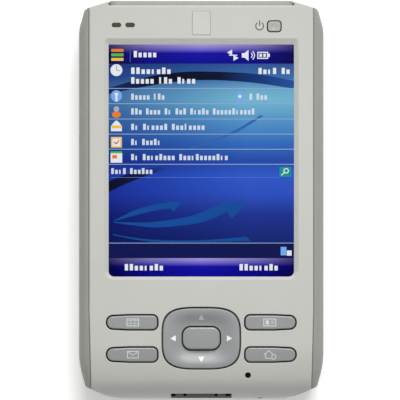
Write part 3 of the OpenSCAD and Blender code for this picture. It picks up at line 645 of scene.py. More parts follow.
MATERIALS = {
    "shell_light": plastic("shell_satin", (183, 184, 178), 0.5, depth=0.08, vary=0.012),
    "shell_grey": plastic("back_satin", (132, 134, 131), 0.5, depth=0.1, vary=0.015),
    "rail_grey": plastic("rail_soft_paint", (145, 145, 140), 0.55, depth=0.06, vary=0.02,
                         specular=0.25),
    "cap_grey": plastic("cap_satin", (155, 155, 151), 0.45),
    "tile_light": plastic("tile_satin", (184, 185, 179), 0.4),
    "button_light": plastic("button_satin", (160, 160, 157), 0.35, coat=0.1),
    "key_grey": plastic("key_gloss", (141, 144, 143), 0.34, depth=0.02, vary=0.02, coat=0.3),
    "rocker_grey": plastic("rocker_gloss", (142, 145, 145), 0.42, depth=0.01, vary=0.02, coat=0.12),
    "latch_dark": plastic("latch_matte", (92, 94, 91), 0.5),
    "lens_dark": plastic("lens_smoke", (64, 56, 40), 0.25, depth=0.0, specular=0.2),
    "display": plastic("cell_dark", (18, 24, 50), 0.3),
    "diffuser": plastic("light_guide", (235, 238, 240), 0.4),
    "rubber_black": plastic("elastomer", (44, 44, 44), 0.75, depth=0.2, vary=0.1),
    "board_green": plastic("solder_mask", (32, 96, 58), 0.35, vary=0.1),
    "chip_black": plastic("chip_mould", (34, 35, 37), 0.6, depth=0.15),
    "connector_black": plastic("connector_mould", (122, 123, 118), 0.5, depth=0.1),
    "connector_cream": plastic("connector_cream", (214, 205, 174), 0.5),
    "ribbon_amber": plastic("polyimide", (186, 118, 40), 0.25, coat=0.4),
    "dome_metal": metal("dome_steel", (205, 200, 190), 0.3),
    "sheet_steel": metal("sheet_steel", (200, 203, 205), 0.35, (8, 1, 1)),
    "contact_gold": metal("contact_gold", (226, 188, 106), 0.25),
    "insert_brass": metal("insert_brass", (214, 180, 108), 0.35),
    "screw_steel": metal("screw_zinc", (188, 191, 193), 0.32),
    "led_cream": plastic("led_cream", (230, 224, 196), 0.4),
    "battery_black": plastic("battery_wrap", (46, 48, 52), 0.4, vary=0.08),
    "blank_dark": plastic("blank_matte", (62, 65, 70), 0.5, depth=0.15),
    "stylus_grey": plastic("stylus_satin", (112, 116, 120), 0.35),
}
PRINT_LIGHT = plastic("key_print", (196, 201, 204), 0.5, vary=0.01)
# Painted shade: the up arrow's print is a dimmer copy of the rocker print, for the shaded upper
# slope of the ring.
PRINT_SHADED_COPY = plastic("up_arrow_print_painted_shade", (186, 190, 192), 0.5, vary=0.01)
PRINT_WHITE = plastic("rocker_print", (236, 238, 238), 0.45, vary=0.01)
PRINT_GREY = plastic("glyph_print", (70, 76, 86), 0.5, vary=0.02)


replaced_nodes = set()


def paint(obj, material):
    obj.data.materials.clear()
    obj.data.materials.append(material)


def finish_piece(obj, body, slot_name, replaced=(), material=None):
    """Material, body and CAD nodes of a new piece."""
    paint(obj, material or MATERIALS[slot_name])
    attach(obj, body)
    if replaced:
        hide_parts(*replaced)
        replaced_nodes.update(replaced)
    return obj


# ---- front shell

KEY_W, KEY_H, KEY_X = 15.5, 4.3, 21.45
KEY_ROWS = [24 - HALF_L, 14 - HALF_L]
KEY_GAP = 0.42  # gap round the keys and the ring, darkened by painted shade set under it
NAV_Y = 19.05 - HALF_L
NAV_A, NAV_B, NAV_POWER = 11.9, 9.3, 3.5  # half sizes of the rocker ring, and its squareness
SELECT_W, SELECT_H = 11.5, 6.9
SELECT_GAP = 0.35
POWER = (22.65, HALF_L - 8.1)
LED_X = [-26.35, -22.1]
LED_Y = HALF_L - 7.7
BADGE = (0.05, HALF_L - 7.1)
SEAM_IN = 0.6  # how far the seams run inward, from the bend to the bottom end
SEAM_BEND_Y, SEAM_END_Y = -34, -58.7
MIC = (14.5, 7.55 - HALF_L)
SCREEN_X = 28.8
SCREEN_TOP = HALF_L - 13.7
SCREEN_LOW = SCREEN_TOP - 72.1
BEVEL_Z = FACE_Z - 0.85  # foot of the shallow bevel round the screen
NOTCH_X = 9.4  # half width of the notch over the connector
NOTCH_Y = 1.7 - HALF_L
HOOD_Z = 13.35  # where the shell ends above the connector


def shell_outline():
    half = [[NOTCH_X, NOTCH_Y, 0.2], [NOTCH_X, -HALF_L, 0.25], [28.8, -HALF_L, 20],
            [CORE_X - SEAM_IN, SEAM_END_Y, 0.7], [CORE_X, SEAM_BEND_Y, 30], [CORE_X, 59.88, 0.7],
            [CAP_X, HALF_L - 0.3, 0.3], [CAP_X, CAP_Y, 0.15]]
    return dense(rounded(mirrored(half)), chin_step)


def seam_x(y):
    """Inner face of a side rail: it runs inward a little towards the bottom end."""
    share = (SEAM_BEND_Y - y) / (SEAM_BEND_Y - SEAM_END_Y)
    return CORE_X + 0.06 - SEAM_IN * max(0, min(1, share))


def shell_inner_outline():
    half = [[NOTCH_X + 0.8, NOTCH_Y + 0.9, 0.2], [NOTCH_X + 0.8, WALL - HALF_L + 0.05, 0.2],
            [27.9, WALL - HALF_L + 0.05, 3], [33.2, -57.6, 1.5],
            [33.2, CAP_Y - WALL, 1.5]]
    return dense(rounded(mirrored(half)), chin_step)


def shell_foot(x, y):
    """The shell ends at the seam, or above the connector inside the notch."""
    if abs(x) < NOTCH_X + 0.75 and -HALF_L + 0.9 < y < -HALF_L + 3:
        return HOOD_Z
    return PARTING_Z


def window(extra_x, top, low, radius, top_radius=0.25):
    """Screen window outline, grown by its bevel."""
    x = SCREEN_X + extra_x
    return dense(rounded([[x, low, radius], [x, top, top_radius], [-x, top, top_radius],
                          [-x, low, radius]], 8), lambda y: 40)


def ring_outline(grow):
    """Outer outline of the rocker ring."""
    return ellipse(NAV_A + grow, NAV_B + grow, NAV_POWER, (0, NAV_Y), 96)


def shell_seeds():
    seeds = []
    v = CHIN_Y - 0.01
    row = 0
    while v > TIGHT_V - TIGHT_R * (math.pi / 2 - GENTLE_TURN) + 0.8:
        step = 2.2 if v > TIGHT_V else 1.1
        seeds += [(x * 1.7 + (row % 2) * 0.85, v) for x in range(-21, 21)]
        v -= step * 0.8
        row += 1
    return seeds


holes = [
    {"outline": window(1.4, SCREEN_TOP + 1.9, SCREEN_LOW - 0.8, 3.1, 1.4), "rim": 0.3,
     "bevel": (window(0, SCREEN_TOP, SCREEN_LOW, 1.7), BEVEL_Z)},
    {"outline": ring_outline(KEY_GAP), "rim": 0.25},
    {"outline": rectangle(4.55, 3.7, 1.1, POWER), "rim": 0.15},
    {"outline": rectangle(5.82, 7.42, 0.5, BADGE), "rim": 0.06},
    {"outline": circle(0.9, MIC), "rim": 0.2},
]
holes += [{"outline": rectangle(2.9, 1.4, 0.69, (x, LED_Y), 15), "rim": 0.15} for x in LED_X]
holes += [{"outline": key_outline(KEY_GAP, s, y), "rim": 0.2}
          for s in (-1, 1) for y in KEY_ROWS]
shell = slab("front_shell", FACE, shell_outline(), shell_foot, rim=0.45, holes=holes,
             under=UNDER_FACE, seeds=shell_seeds(), steps=4, skirt=shell_inner_outline())
finish_piece(shell, "housing", "shell_light", ["front_housing"])

# ---- what shows in the openings

def lining(name, inset, thick, outlines):
    """Dark pieces that lie in openings, inset under the face: painted shade in the key and ring
    gaps and in the reset recess, and the microphone's cloth.
    """
    surface = Face(inset)
    for k, (outer, inner) in enumerate(outlines):
        hole = [{"outline": inner, "rim": 0.05}] if inner else []
        part = slab(f"{name}_{k + 1}", surface, outer,
                    lambda x, y: surface.at(x, y)[0].z - thick, rim=0.05, holes=hole,
                    under=Face(inset + thick), steps=1)
        finish_piece(part, "housing", "rubber_black", (), GAP_SHADE_AND_DARK_PARTS)


# Painted shade: a near-black colour for the sheets under the key and ring gaps and the reset
# recess; the same colour serves the microphone cloth and the connector's hook marks.
GAP_SHADE_AND_DARK_PARTS = plastic("gap_shade_and_dark_parts", (16, 16, 15), 0.85, depth=0.1, specular=0.1)
# Painted shade in the gaps round the keys and the ring, and in the reset recess.
lining("key_gap_painted_shade", 0.3, 0.5, [
    (key_outline(KEY_GAP + 0.12, s, y), key_outline(0.06, s, y)) for s in (-1, 1)
    for y in KEY_ROWS] + [
    (ring_outline(KEY_GAP + 0.12), ring_outline(0.27))])
lining("reset_recess_painted_shade", -0.02, 0.1, [(rectangle(1.5, 0.3, 0.1, (18.3, 0.22 - HALF_L)), None)])
lining("microphone_cloth", 0.6, 0.3, [(circle(0.95, MIC), None)])

# ---- keys

KEYS = [("calendar", -1, 0), ("mail", -1, 1), ("contacts", 1, 0), ("home", 1, 1)]
DISH = 1.35  # depth of the rocker ring's dish


def capped(name, body, slot_name, surface, outline, low, rim, replaced):
    """A small piece with a rounded top edge and a level foot."""
    piece = slab(name, surface, outline, lambda x, y: low, rim=rim, steps=4)
    finish_piece(piece, body, slot_name, replaced)


for name, side, row in KEYS:
    node = "key_" + name
    capped(name + "_key_cap", name + "_key", "key_grey", KEY_FACE,
           key_outline(0, side, KEY_ROWS[row]), box_mm(node)[0][2] + 0.6, 0.4, [node])


def ring_height(x, y):
    """Height of the rocker ring: a level rim, then a dish that flattens towards the middle."""
    share = abs(x / NAV_A) ** NAV_POWER + abs((y - NAV_Y) / NAV_B) ** NAV_POWER
    reach = share ** (1 / NAV_POWER)
    slope = min(1, max(0, (0.93 - reach) / 0.5))
    return FACE.at(x, y)[0].z + KEY_LIFT - DISH * slope * slope * (3 - 2 * slope)


RING_FACE = Field(ring_height)
ring = slab("rocker_ring_face", RING_FACE, ring_outline(0),
            lambda x, y: box_mm("nav_ring")[0][2], rim=0.3, steps=4,
            holes=[{"outline": dense(rectangle(SELECT_W + 2 * SELECT_GAP, SELECT_H + 2 * SELECT_GAP,
                                               2.8, (0, NAV_Y)), lambda y: 1.2), "rim": 0.25}],
            seeds=[(x * 0.9 + (k % 2) * 0.45, NAV_Y + k * 0.8) for k in range(-12, 13)
                   for x in range(-14, 15)])
finish_piece(ring, "rocker_ring", "rocker_grey", ["nav_ring"])


def select_height(x, y):
    """Height of the slightly domed select key."""
    return FACE_Z + 0.15 - (x * x + (y - NAV_Y) ** 2) / 140


capped("select_key_cap", "select_key", "key_grey", Field(select_height),
       dense(rectangle(SELECT_W, SELECT_H, 2.5, (0, NAV_Y)), lambda y: 1.5),
       box_mm("select_key")[0][2] + 1, 0.55, ["select_key"])


def power_height(x, y):
    """Height of the power button, with a small dimple for a fingertip."""
    away = (x - POWER[0]) ** 2 + (y - POWER[1]) ** 2
    return FACE_Z + KEY_LIFT - 0.28 * math.exp(-away / 1.1)


power = slab("power_button_cap", Field(power_height), rectangle(3.95, 3.1, 0.85, POWER),
             lambda x, y: box_mm("power_button")[0][2] + 1, rim=0.25, steps=4,
             seeds=[(POWER[0] + 0.35 * i, POWER[1] + 0.35 * k) for i in range(-5, 6)
                    for k in range(-4, 5)])
finish_piece(power, "power_button", "button_light", ["power_button"])

for x, side in zip(LED_X, ("left", "right")):
    capped("led_window_" + side, "housing", "lens_dark", level(FACE_Z - 0.1),
           rectangle(2.84, 1.34, 0.66, (x, LED_Y), 15), FACE_Z - 2, 0.12,
           ["led_lens_" + side])

tile = slab("badge_tile_face", level(FACE_Z + 0.12), rectangle(5.74, 7.34, 0.45, BADGE),
            lambda x, y: FACE_Z - 0.4, rim=0.2, steps=3)
finish_piece(tile, "housing", "tile_light", ["badge_tile"])


# ---- printed marks

def prism(name, outlines, surface, lift, sink, body, slot_name, material):
    """Thin closed shapes on a surface. Each outline is a list of plain (x, y) points."""
    b = Builder()
    for points in outlines:
        top, low = [], []
        for x, y in points:
            p, n = surface.at(x, y)
            top.append(p + n * lift)
            low.append(p - n * sink)
        t, l = b.row(top), b.row(low)
        b.strip(t, l)
        b.face([(i, None) for i in t])
        b.face([(i, None) for i in reversed(l)])
    return finish_piece(b.build(name), body, slot_name, (), material)


def bar(x0, x1, y0, y1):
    """A rectangle from side to side and from bottom to top."""
    return [(x0, y0), (x1, y0), (x1, y1), (x0, y1)]


def disc(x, y, r, count=20, squash=1.0):
    return [(x + r * math.cos(math.tau * i / count),
             y + r * squash * math.sin(math.tau * i / count)) for i in range(count)]


def arc_band(x, y, r, width, start, end):
    """A bent band between two angles, in degrees."""
    angles = [math.radians(start + (end - start) * i / 18) for i in range(19)]
    outer = [(x + r * math.cos(a), y + r * math.sin(a)) for a in angles]
    inner = [(x + (r - width) * math.cos(a), y + (r - width) * math.sin(a)) for a in angles]
    return outer + inner[::-1]


def frame_of(x0, x1, y0, y1, t):
    """Four bars round a rectangle."""
    return [bar(x0, x1, y1 - t, y1), bar(x0, x1, y0, y0 + t), bar(x0, x0 + t, y0 + t, y1 - t),
            bar(x1 - t, x1, y0 + t, y1 - t)]


def stroke(points, width):
    """A line of short bars through points, each a thin quad."""
    out = []
    for (xa, ya), (xb, yb) in zip(points, points[1:]):
        length = math.hypot(xb - xa, yb - ya)
        px, py = -(yb - ya) / length * width / 2, (xb - xa) / length * width / 2
        out.append([(xa + px, ya + py), (xa - px, ya - py), (xb - px, yb - py), (xb + px, yb + py)])
    return out


def shifted(outlines, dx, dy):
    return [[(x + dx, y + dy) for x, y in points] for points in outlines]


LINE = 0.26  # width of the lines in the keys' signs
calendar_icon = frame_of(-1.95, 1.95, -1.2, 1.2, LINE) + [
    bar(-1.7, 1.7, 0.5, 0.68), bar(-1.7, 1.7, -0.34, -0.16),
    bar(-0.72, -0.54, -0.95, 0.95), bar(0.54, 0.72, -0.95, 0.95)]
mail_icon = frame_of(-1.8, 1.8, -1.15, 1.15, LINE) + stroke([(-1.6, 0.95), (0, -0.2), (1.6, 0.95)],
                                                            LINE)
contacts_icon = frame_of(-2, 2, -1.2, 1.2, LINE) + [
    bar(-1.3, -0.2, -0.65, 0.65), bar(0.3, 1.4, 0.3, 0.55), bar(0.3, 1.4, -0.3, -0.05)]
home_icon = stroke([(-1.9, -0.1), (-0.3, 1.2), (1.3, -0.1)], LINE) + stroke(
    [(-1.3, 0.2), (-1.3, -1.15), (0.7, -1.15), (0.7, 0.1)], LINE) + [
    arc_band(1.1, -0.65, 0.9, LINE, -150, 80)]
for (name, side, row), icon in zip(KEYS, [calendar_icon, mail_icon, contacts_icon, home_icon]):
    prism(name + "_key_mark", shifted(icon, side * (KEY_X - 0.2), KEY_ROWS[row]), KEY_FACE, 0.02,
          0.1, name + "_key", "key_grey", PRINT_LIGHT)


def arrow(dx, dy, reach, size):
    """A solid triangle that points away from the ring's middle."""
    x, y = dx * reach, NAV_Y + dy * reach
    half = 0.56 * size
    return [(x + dx * size, y + dy * size), (x - dy * half, y + dx * half),
            (x + dy * half, y - dx * half)]


prism("rocker_marks", [arrow(-1, 0, 7.95, 1.65), arrow(1, 0, 7.95, 1.65), arrow(0, -1, 5.75, 1.6)],
      RING_FACE, 0.05, 0.2, "rocker_ring", "rocker_grey", PRINT_WHITE)
# The up arrow carries the rocker print with painted shade.
prism("rocker_mark_up", [arrow(0, 1, 5.75, 1.6)], RING_FACE, 0.05, 0.2, "rocker_ring",
      "rocker_grey", PRINT_SHADED_COPY)
prism("power_mark", [arc_band(18.1, POWER[1] + 0.1, 1.38, 0.34, 125, 415),
                     bar(17.93, 18.27, POWER[1] + 0.2, POWER[1] + 1.8)],
      FACE, 0.02, 0.1, "housing", "shell_light", PRINT_GREY)


CONNECTOR_TOP = level(box_mm("cradle_connector")[1][2])
prism("connector_hooks", [bar(x - w, x + w, 0.85 - HALF_L, NOTCH_Y + 0.5)
                          for x, w in ((-8.7, 0.6), (-5.1, 0.45), (4.6, 0.45), (8.3, 0.7))],
      CONNECTOR_TOP, 0.03, 0.2, "housing", "connector_black", GAP_SHADE_AND_DARK_PARTS)


# ---- side rails and top cap

RAIL_MIDDLE = 10.0  # over this height the section follows the chin
RAIL_TOP = 19.4


def rail_stations():
    """Outline of a right-hand rail in plan, from the bottom end to the top end."""
    path = [[CORE_X - 3, -60.42, 0], [36.2, -58.1, 1.2], [HALF_W, -51, 26],
            [HALF_W, HALF_L - 8.8, 12], [36.4, 59.4, 1.8], [CORE_X - 3, 60.8, 0]]
    points = []
    for i in range(1, len(path) - 1):
        points += corner(path[i - 1], path[i], path[i + 1], 4)
    out = [(CORE_X + 0.25, -58.84 + 0.13)]
    for p in points:
        if p[1] - out[-1][1] > 4:
            gap = p[1] - out[-1][1]
            count = int(gap / 3)
            x0, y0 = out[-1]
            out += [(x0 + (p[0] - x0) * k / count, y0 + gap * k / count) for k in range(1, count)]
        out.append((p[0], p[1]))
    out.append((CORE_X + 0.25, 59.81))
    return out


def rail_section():
    """Section of a rail: (share of the width, height), from the inner foot round the outside."""
    w = HALF_W - CORE_X
    shape = rounded([[0, 0.8, 0.3], [w - 1.25, 1.5, 2.4], [w, 6.5, 6], [w, 13.0, 6],
                     [w - 0.35, 16.9, 2.2], [w - 1.7, 18.95, 1.6], [0, RAIL_TOP, 0.4]], 6)
    return [(x / w, z) for x, z, _, _ in shape]


def rail(name, side, node):
    """A side rail: its section swept along the stations, lower where the face is lower."""
    b = Builder()
    section = rail_section()
    rows = []
    for x_out, y in rail_stations():
        top = FACE.at(0, y)[0].z - 0.6
        squeeze = (top - RAIL_MIDDLE) / (RAIL_TOP - RAIL_MIDDLE)
        row = []
        for share, z in section:
            z = RAIL_MIDDLE + (z - RAIL_MIDDLE) * (squeeze if z > RAIL_MIDDLE else 1)
            inner = seam_x(y)
            row.append(Vector((side * (inner + share * (x_out - inner)), y, z)))
        rows.append(b.row(row))
    for a, c in zip(rows, rows[1:]):
        b.strip(a, c)
    b.face([(i, None) for i in rows[0]])
    b.face([(i, None) for i in reversed(rows[-1])])
    piece = b.build(name)
    piece.data.normals_split_custom_set([(0, 0, 0)] * len(piece.data.loops))
    piece.data.set_sharp_from_angle(angle=math.radians(38))
    return finish_piece(piece, "housing", "rail_grey", [node])


rail("left_rail", -1, "side_rail_left")
rail("right_rail", 1, "side_rail_right")


def slot_outline(node, gap):
    """Opening of a piece in the top edge, in x and z."""
    low, high = box_mm(node)
    middle = ((low[0] + high[0]) / 2, (low[2] + high[2]) / 2)
    return rectangle(high[0] - low[0] + 2 * gap, high[2] - low[2] + 2 * gap, 0.3, middle)


STYLUS = (24.6, 6.9)
JACK = (-14.2, 12.9)
cap_holes = [{"outline": slot_outline("large_card_blank", 0.15), "rim": 0.25},
             {"outline": slot_outline("small_card_blank", 0.15), "rim": 0.25},
             {"outline": circle(1.95, JACK), "rim": 0.2},
             {"outline": circle(2.33, STYLUS), "rim": 0.2}]
cap = slab("top_edge_cap", level(HALF_L), dense(rectangle(57.4, 17.4, 2.4, (0, 9.8)), lambda y: 6),
           lambda x, y: CAP_Y, rim=0.5, holes=cap_holes, steps=4,
           place=lambda p: Vector((p.x, p.z, p.y)))
finish_piece(cap, "housing", "cap_grey", ["top_cap"])


# ---- display

CELL_TOP = box_mm("lcd_panel")[1][2]
CELL = level(CELL_TOP)
WHITE = lit("lit_white", (236, 240, 248))
TEXT = lit("lit_text", (216, 226, 240))
LINES = lit("lit_line", (150, 178, 214))
ORANGE = lit("lit_orange", (240, 130, 40))
YELLOW = lit("lit_yellow", (250, 200, 70))
GREEN = lit("lit_green", (90, 190, 80))
RED = lit("lit_red", (214, 60, 40))
SKY = lit("lit_sky", (120, 176, 250))
TEAL = lit("lit_teal", (22, 150, 150))
SILVER = lit("lit_silver", (176, 180, 186))
NIGHT = lit("lit_night", (16, 24, 84))


def display_layer(name, outlines, layer, material):
    """Flat shapes in the picture. Each layer lies just over the one below."""
    height = 0.012 * layer
    return prism("picture_" + name, outlines, CELL, height, 0.008 - height, "housing", "display",
                 material)


def lit_bar_material(name, y0, y1):
    """Lilac sheen over deep blue, darker towards both ends."""
    return lit_ramp(name, "Y", y0, y1, [
        (0.0, (14, 10, 150)), (0.56, (20, 16, 168)), (0.66, (84, 74, 196)),
        (1.0, (168, 158, 226))], [
        (0.0, (90, 80, 110)), (0.22, (205, 205, 215)), (0.5, (255, 255, 255)),
        (0.8, (205, 205, 215)), (1.0, (100, 90, 130))])


def wallpaper_material():
    """Blue picture: a ramp down the screen, lighter to the right."""
    return lit_ramp("wallpaper", "Y", SCREEN_LOW, SCREEN_TOP, [
        (0.0, (18, 24, 92)), (0.17, (22, 40, 120)), (0.27, (30, 52, 148)),
        (0.36, (46, 82, 196)), (0.44, (48, 90, 204)), (0.50, (38, 76, 172)),
        (0.58, (54, 112, 194)), (0.68, (88, 154, 204)), (0.76, (118, 186, 214)),
        (0.80, (112, 176, 208)), (0.86, (60, 110, 176)), (0.92, (48, 86, 152)),
        (1.0, (40, 66, 130))], [
        (0.0, (150, 156, 200)), (0.35, (196, 206, 228)), (0.75, (255, 255, 255)),
        (1.0, (250, 252, 252))])


def curve(points):
    """A smooth line through a few given points."""
    out = []
    count = 24 // (len(points) - 1)
    ends = [points[0], *points, points[-1]]
    for p0, p1, p2, p3 in zip(ends, ends[1:], ends[2:], ends[3:]):
        for k in range(count):
            t = k / count
            out.append(tuple(
                0.5 * (2 * p1[j] + (p2[j] - p0[j]) * t
                       + (2 * p0[j] - 5 * p1[j] + 4 * p2[j] - p3[j]) * t * t
                       + (3 * p1[j] - p0[j] - 3 * p2[j] + p3[j]) * t ** 3) for j in (0, 1)))
    out.append(points[-1])
    return out


def band(top, low):
    """The area between two smooth lines."""
    return curve(top) + curve(low)[::-1]


def words(x, y, counts, pitch, height):
    """Greeked text: one small block for each letter of each word."""
    out = []
    n = 0
    for count in counts:
        for k in range(count):
            tall = height if k == 0 or (n * 7 + count) % 5 == 0 else height * 0.72
            width = pitch * (0.38 if (n * 5 + count) % 7 == 0 else 0.66)
            out.append(bar(x, x + width, y, y + tall))
            x += pitch
            n += 1
        x += pitch * 0.8
    return out


def across(y0, y1):
    """A bar over the whole width of the screen, with its ends under the bevel."""
    return bar(-SCREEN_X - 1, SCREEN_X + 1, y0, y1)


# Rows of the picture, from the top of the screen down
BAR_LOW = 42.4
ROWS = [34.7, 29.97, 25.2, 20.5, 15.8, 11.1]
SEARCH_LOW = 7.0
STRIP_HIGH = -13.4
STRIP_LOW = -18.1
ICON_X = -26.4

display_layer("cell", [across(SCREEN_LOW - 0.9, SCREEN_TOP + 1)], 1.4, wallpaper_material())
display_layer("swoosh_dark", [
    band([(-28.8, 34.9), (-16, 38.4), (-6, 39.8), (4, 39.9), (17, 39.2), (29.4, 37.0)],
         [(-28.8, 33.0), (-18, 35.2), (-7, 36.9), (4, 37.3), (17, 36.4), (29.4, 34.5)])], 2,
    lit_ramp("lit_shadow", "X", -SCREEN_X, SCREEN_X, [
        (0.0, (20, 40, 100)), (0.25, (6, 10, 34)), (0.6, (8, 16, 48)), (0.85, (24, 60, 130)),
        (1.0, (36, 84, 156))]))
display_layer("swoosh_low", [
    band([(-28.8, 5.8), (-23, 8.0), (-16, 9.8), (-8.6, 10.8)],
         [(-28.8, 2.4), (-23, 5.2), (-16, 7.9), (-8.6, 10.2)])], 2,
    lit_ramp("lit_shadow_low", "X", -SCREEN_X, -9, [
        (0.0, (6, 10, 40)), (0.5, (10, 18, 66)), (1.0, (34, 66, 168))]))
display_layer("swoosh_thin", [
    band([(-4, 15.9), (4, 18.8), (11, 22.0), (18.4, 26.4)],
         [(-3.2, 15.9), (4.6, 18.4), (11.6, 21.4), (19.4, 26.2)])], 2,
    lit("lit_deep", (50, 104, 180)))
display_layer("swoosh_teal", [
    band([(-27, -6.3), (-20, -2.9), (-13, -1.2), (-10, -1.0)],
         [(-27, -6.6), (-20, -4.6), (-13, -3.0), (-9.4, -2.6)]),
    [(-10.8, -0.3), (-8.7, -3.7), (-6.2, -0.8)],
    band([(-27.3, -6.8), (-15.8, -6.9), (-3.8, -5.1), (3.2, -2.5), (7.2, -0.9)],
         [(-27.3, -7.0), (-21.8, -7.8), (-12.6, -8.5), (0.1, -6.9), (8.1, -3.6)]),
    [(5.4, -0.4), (9.5, -5.8), (14.0, -0.9)],
    band([(-27.5, -10.6), (-16, -12.3), (0, -12.5), (14, -11.4)],
         [(-27.5, -10.9), (-16, -12.9), (0, -13.1), (15.4, -12.7)])], 2,
    lit("lit_sea", (18, 78, 158)))
display_layer("title_bar", [across(BAR_LOW, SCREEN_TOP + 1)], 3,
              lit_bar_material("bar_top", BAR_LOW, SCREEN_TOP))
display_layer("softkey_bar", [across(SCREEN_LOW - 0.9, STRIP_LOW)], 3,
              lit_bar_material("bar_low", SCREEN_LOW, STRIP_LOW))
display_layer("strip", [across(STRIP_LOW, STRIP_HIGH)], 3, NIGHT)
display_layer("separators", [across(y - 0.11, y + 0.11) for y in ROWS]
              + [across(STRIP_HIGH - 0.1, STRIP_HIGH + 0.1)], 4, LINES)
display_layer("search_line", [bar(-SCREEN_X + 0.6, 24.0, SEARCH_LOW - 0.06, SEARCH_LOW + 0.08),
                              bar(-22.2, -22.05, 42.9, 46.2)],
              4, lit("lit_faint", (86, 130, 206)))
display_layer("bold_text", words(-21.0, 44.4, [5], 1.5, 2.0)
              + words(-21.8, 39.2, [8], 1.6, 2.0) + words(-21.8, 36.2, [5, 3, 4], 1.5, 2.0)
              + words(17.8, 39.2, [4, 2], 1.5, 1.9)
              + words(-23.8, -21.9, [8], 1.55, 2.0) + words(11.9, -21.9, [8], 1.55, 2.0), 4, WHITE)
display_layer("row_text", words(-21.8, 31.2, [5, 3], 1.22, 1.9)
              + words(15.0, 31.2, [1, 3], 1.22, 1.9)
              + words(-21.8, 26.6, [3, 4, 2, 3, 5, 11], 1.21, 1.9)
              + words(-21.8, 21.8, [2, 6, 8], 1.32, 1.9)
              + words(-21.8, 17.1, [2, 5], 1.22, 1.9)
              + words(-21.8, 12.4, [2, 8, 12], 1.29, 1.9)
              + words(-28.0, 8.1, [4, 6], 1.22, 1.8), 4, TEXT)

# Icons, all of them plain signs
icons = [
    ("menu_a", [bar(-28.0, -24.2, 46.1, 47.0)], 4, ORANGE),
    ("menu_b", [bar(-28.0, -24.2, 44.7, 45.6)], 4, GREEN),
    ("menu_c", [bar(-28.0, -24.2, 43.3, 44.2)], 4, YELLOW),
    ("clock", [disc(ICON_X, 40.4, 1.85, 32)], 4, WHITE),
    ("clock_hands", stroke([(ICON_X, 41.9), (ICON_X, 40.4), (ICON_X + 1.1, 40.2)], 0.3), 5, SILVER),
    ("signal", [disc(ICON_X, 32.4, 1.75, 28)], 4, SKY),
    ("signal_mast", [bar(ICON_X - 0.3, ICON_X + 0.3, 30.6, 32.8),
                     disc(ICON_X, 32.9, 0.55, 16)], 5, WHITE),
    ("person", [disc(ICON_X, 26.6, 1.35, 24, 0.75)], 4, ORANGE),
    ("person_head", [disc(ICON_X, 28.3, 0.85, 20)], 4, SILVER),
    ("mail", [band([(-28.1, 23.0), (ICON_X, 24.7), (-24.7, 23.0)],
                   [(-28.1, 21.4), (ICON_X, 21.4), (-24.7, 21.4)])], 4, WHITE),
    ("mail_slot", [bar(-27.9, -24.9, 22.3, 23.2)], 5, YELLOW),
    ("tasks", [bar(-28.1, -24.7, 16.3, 19.6)], 4, YELLOW),
    ("tasks_sheet", [bar(-27.6, -25.2, 16.7, 19.1)], 5, WHITE),
    ("tasks_tick", stroke([(-27.1, 18.1), (-26.5, 17.4), (-25.6, 18.5)], 0.35), 6, RED),
    ("dates", [bar(-28.2, -24.6, 11.6, 15.0)], 4, WHITE),
    ("dates_head", [bar(-28.2, -24.6, 14.5, 15.1)], 5, GREEN),
    ("dates_day", [bar(-27.7, -26.2, 12.9, 14.0)], 5, ORANGE),
    ("search", [bar(24.3, 28.0, 7.2, 10.3)], 4, TEAL),
    ("search_lens", [arc_band(26.4, 9.1, 0.85, 0.3, 0, 358)]
     + stroke([(25.8, 8.5), (24.9, 7.7)], 0.32), 5, WHITE),
    ("radio", [disc(12.0, 32.2, 1.25, 24)], 4, SKY),
    ("radio_dot", [disc(12.0, 32.2, 0.5, 16)], 5, WHITE),
    ("devices_a", [bar(24.7, 26.5, -17.2, -14.6)], 4, SKY),
    ("devices_b", [bar(26.6, 28.1, -17.3, -15.7)], 4, WHITE),
    ("status", [
        [(8.0, 45.9), (9.6, 46.8), (9.6, 45.0)], [(11.6, 44.2), (10.0, 45.1), (10.0, 43.3)],
        bar(8.6, 11.2, 44.9, 45.2), bar(12.6, 13.4, 44.3, 45.7),
        [(13.4, 44.3), (14.7, 43.3), (14.7, 46.7), (13.4, 45.7)],
        arc_band(14.9, 45.0, 1.1, 0.3, -50, 50), arc_band(14.9, 45.0, 1.8, 0.3, -50, 50)]
     + frame_of(17.4, 20.8, 43.9, 46.1, 0.35)
     + [bar(x, x + w, 44.5, 45.5) for x, w in ((20.8, 0.5), (18.1, 0.8), (19.3, 0.8))],
     4, WHITE)]
for name, outlines, layer, material in icons:
    display_layer("icon_" + name, outlines, layer, material)


# Clear touch panel with a satin film
film = Finish("touch_glass")
film.gloss(film.noise(1800, 2), 0.16, 0.24)
film.set(Base_Color=linear((10, 12, 16)), Specular_IOR_Level=0.3, Alpha=0.04)
low, high = box_mm("touch_panel")
glass = slab("touch_glass", level(high[2]), rectangle(high[0] - low[0], high[1] - low[1], 0.8, (
    0, (high[1] + low[1]) / 2)), lambda x, y: low[2] + 0.02, rim=0.12, steps=2)
finish_piece(glass, "housing", "glass", ["touch_panel"], film.material)


# ---- CAD nodes that stay

slot_of = {s["node"]: s["material_slot"] for s in frame["record"]["subparts"]}
for node, obj in frame["nodes"].items():
    if node in replaced_nodes:
        continue
    paint(obj, MATERIALS[slot_of[node]])
    weld = obj.modifiers.new("weld", "WELD")
    weld.merge_threshold = 0.001 * MM
    edge = obj.modifiers.new("edges", "BEVEL")
    edge.width = 0.05 * MM
    edge.segments = 2
    edge.limit_method = "ANGLE"
    edge.angle_limit = math.radians(40)
    edge.harden_normals = True


# ---- stage

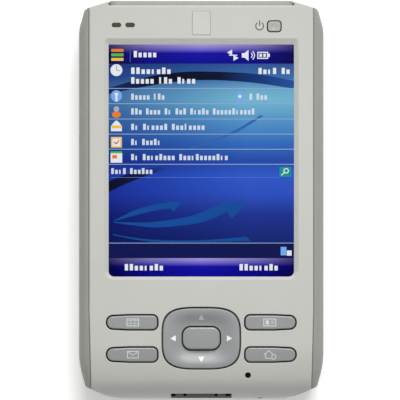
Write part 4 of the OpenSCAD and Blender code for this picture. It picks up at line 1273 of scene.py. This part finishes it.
def floor():
    """A white disc whose far rim turns up, so that no horizon shows from low views."""
    m = Finish("floor")
    m.ramp(m.noise(3, 3), shades([(0.3, (249, 249, 248)), (0.7, (251, 251, 250))]), "Base Color")
    m.set(Roughness=0.8, Emission_Color=(1, 1, 1, 1), Emission_Strength=0.3)
    profile = [(4, 0), (4.3, 0.03), (4.45, 0.12), (4.5, 0.4)]
    count = 96
    points = [(r * math.cos(math.tau * k / count), r * math.sin(math.tau * k / count), z)
              for r, z in profile for k in range(count)]
    faces = [list(range(count))]
    for i in range(len(profile) - 1):
        low = i * count
        high = low + count
        faces += [[low + k, high + k, high + (k + 1) % count, low + (k + 1) % count]
                  for k in range(count)]
    mesh = bpy.data.meshes.new("floor")
    mesh.from_pydata(points, [], faces)
    obj = added("floor", mesh)
    obj.location.z = -0.0001
    paint(obj, m.material)


def add_light(name, kind, energy):
    light = added(name, bpy.data.lights.new(name, kind))
    light.data.energy = energy
    return light


floor()
# A broad soft sun from over the top edge, a little to the right
key_light = add_light("key_light", "SUN", 2.75)
key_light.data.angle = math.radians(40)
key_light.rotation_mode = "QUATERNION"
key_light.rotation_quaternion = Vector((0.16, 0.75, 0.75)).to_track_quat("Z", "Y")
# A small soft panel over the device, which faces down
near_light = add_light("near_light", "AREA", 0.056)
near_light.data.size = 0.09
near_light.location = (0.01, 0.028, 0.15)
near_light.visible_camera = False
world = bpy.data.worlds.new("studio")
scene.world = world
world.use_nodes = True
sky = world.node_tree.nodes["Background"]
sky.inputs["Color"].default_value = (1, 1, 1, 1)
sky.inputs["Strength"].default_value = 0.32

LENS = 400.0  # a long lens, far off, so that the sides hardly show
SENSOR = 36.0
VIEW_HEIGHT = 0.1246  # what the picture spans at the face, in metres
VIEW_X = -0.0004
camera_data = bpy.data.cameras.new("camera")
camera_data.lens = LENS
camera_data.sensor_width = SENSOR
camera_data.clip_end = 100
camera = added("camera", camera_data)
camera.location = (VIEW_X, 0, VIEW_HEIGHT * LENS / SENSOR + 0.015)
scene.camera = camera
scene.view_settings.view_transform = "Standard"
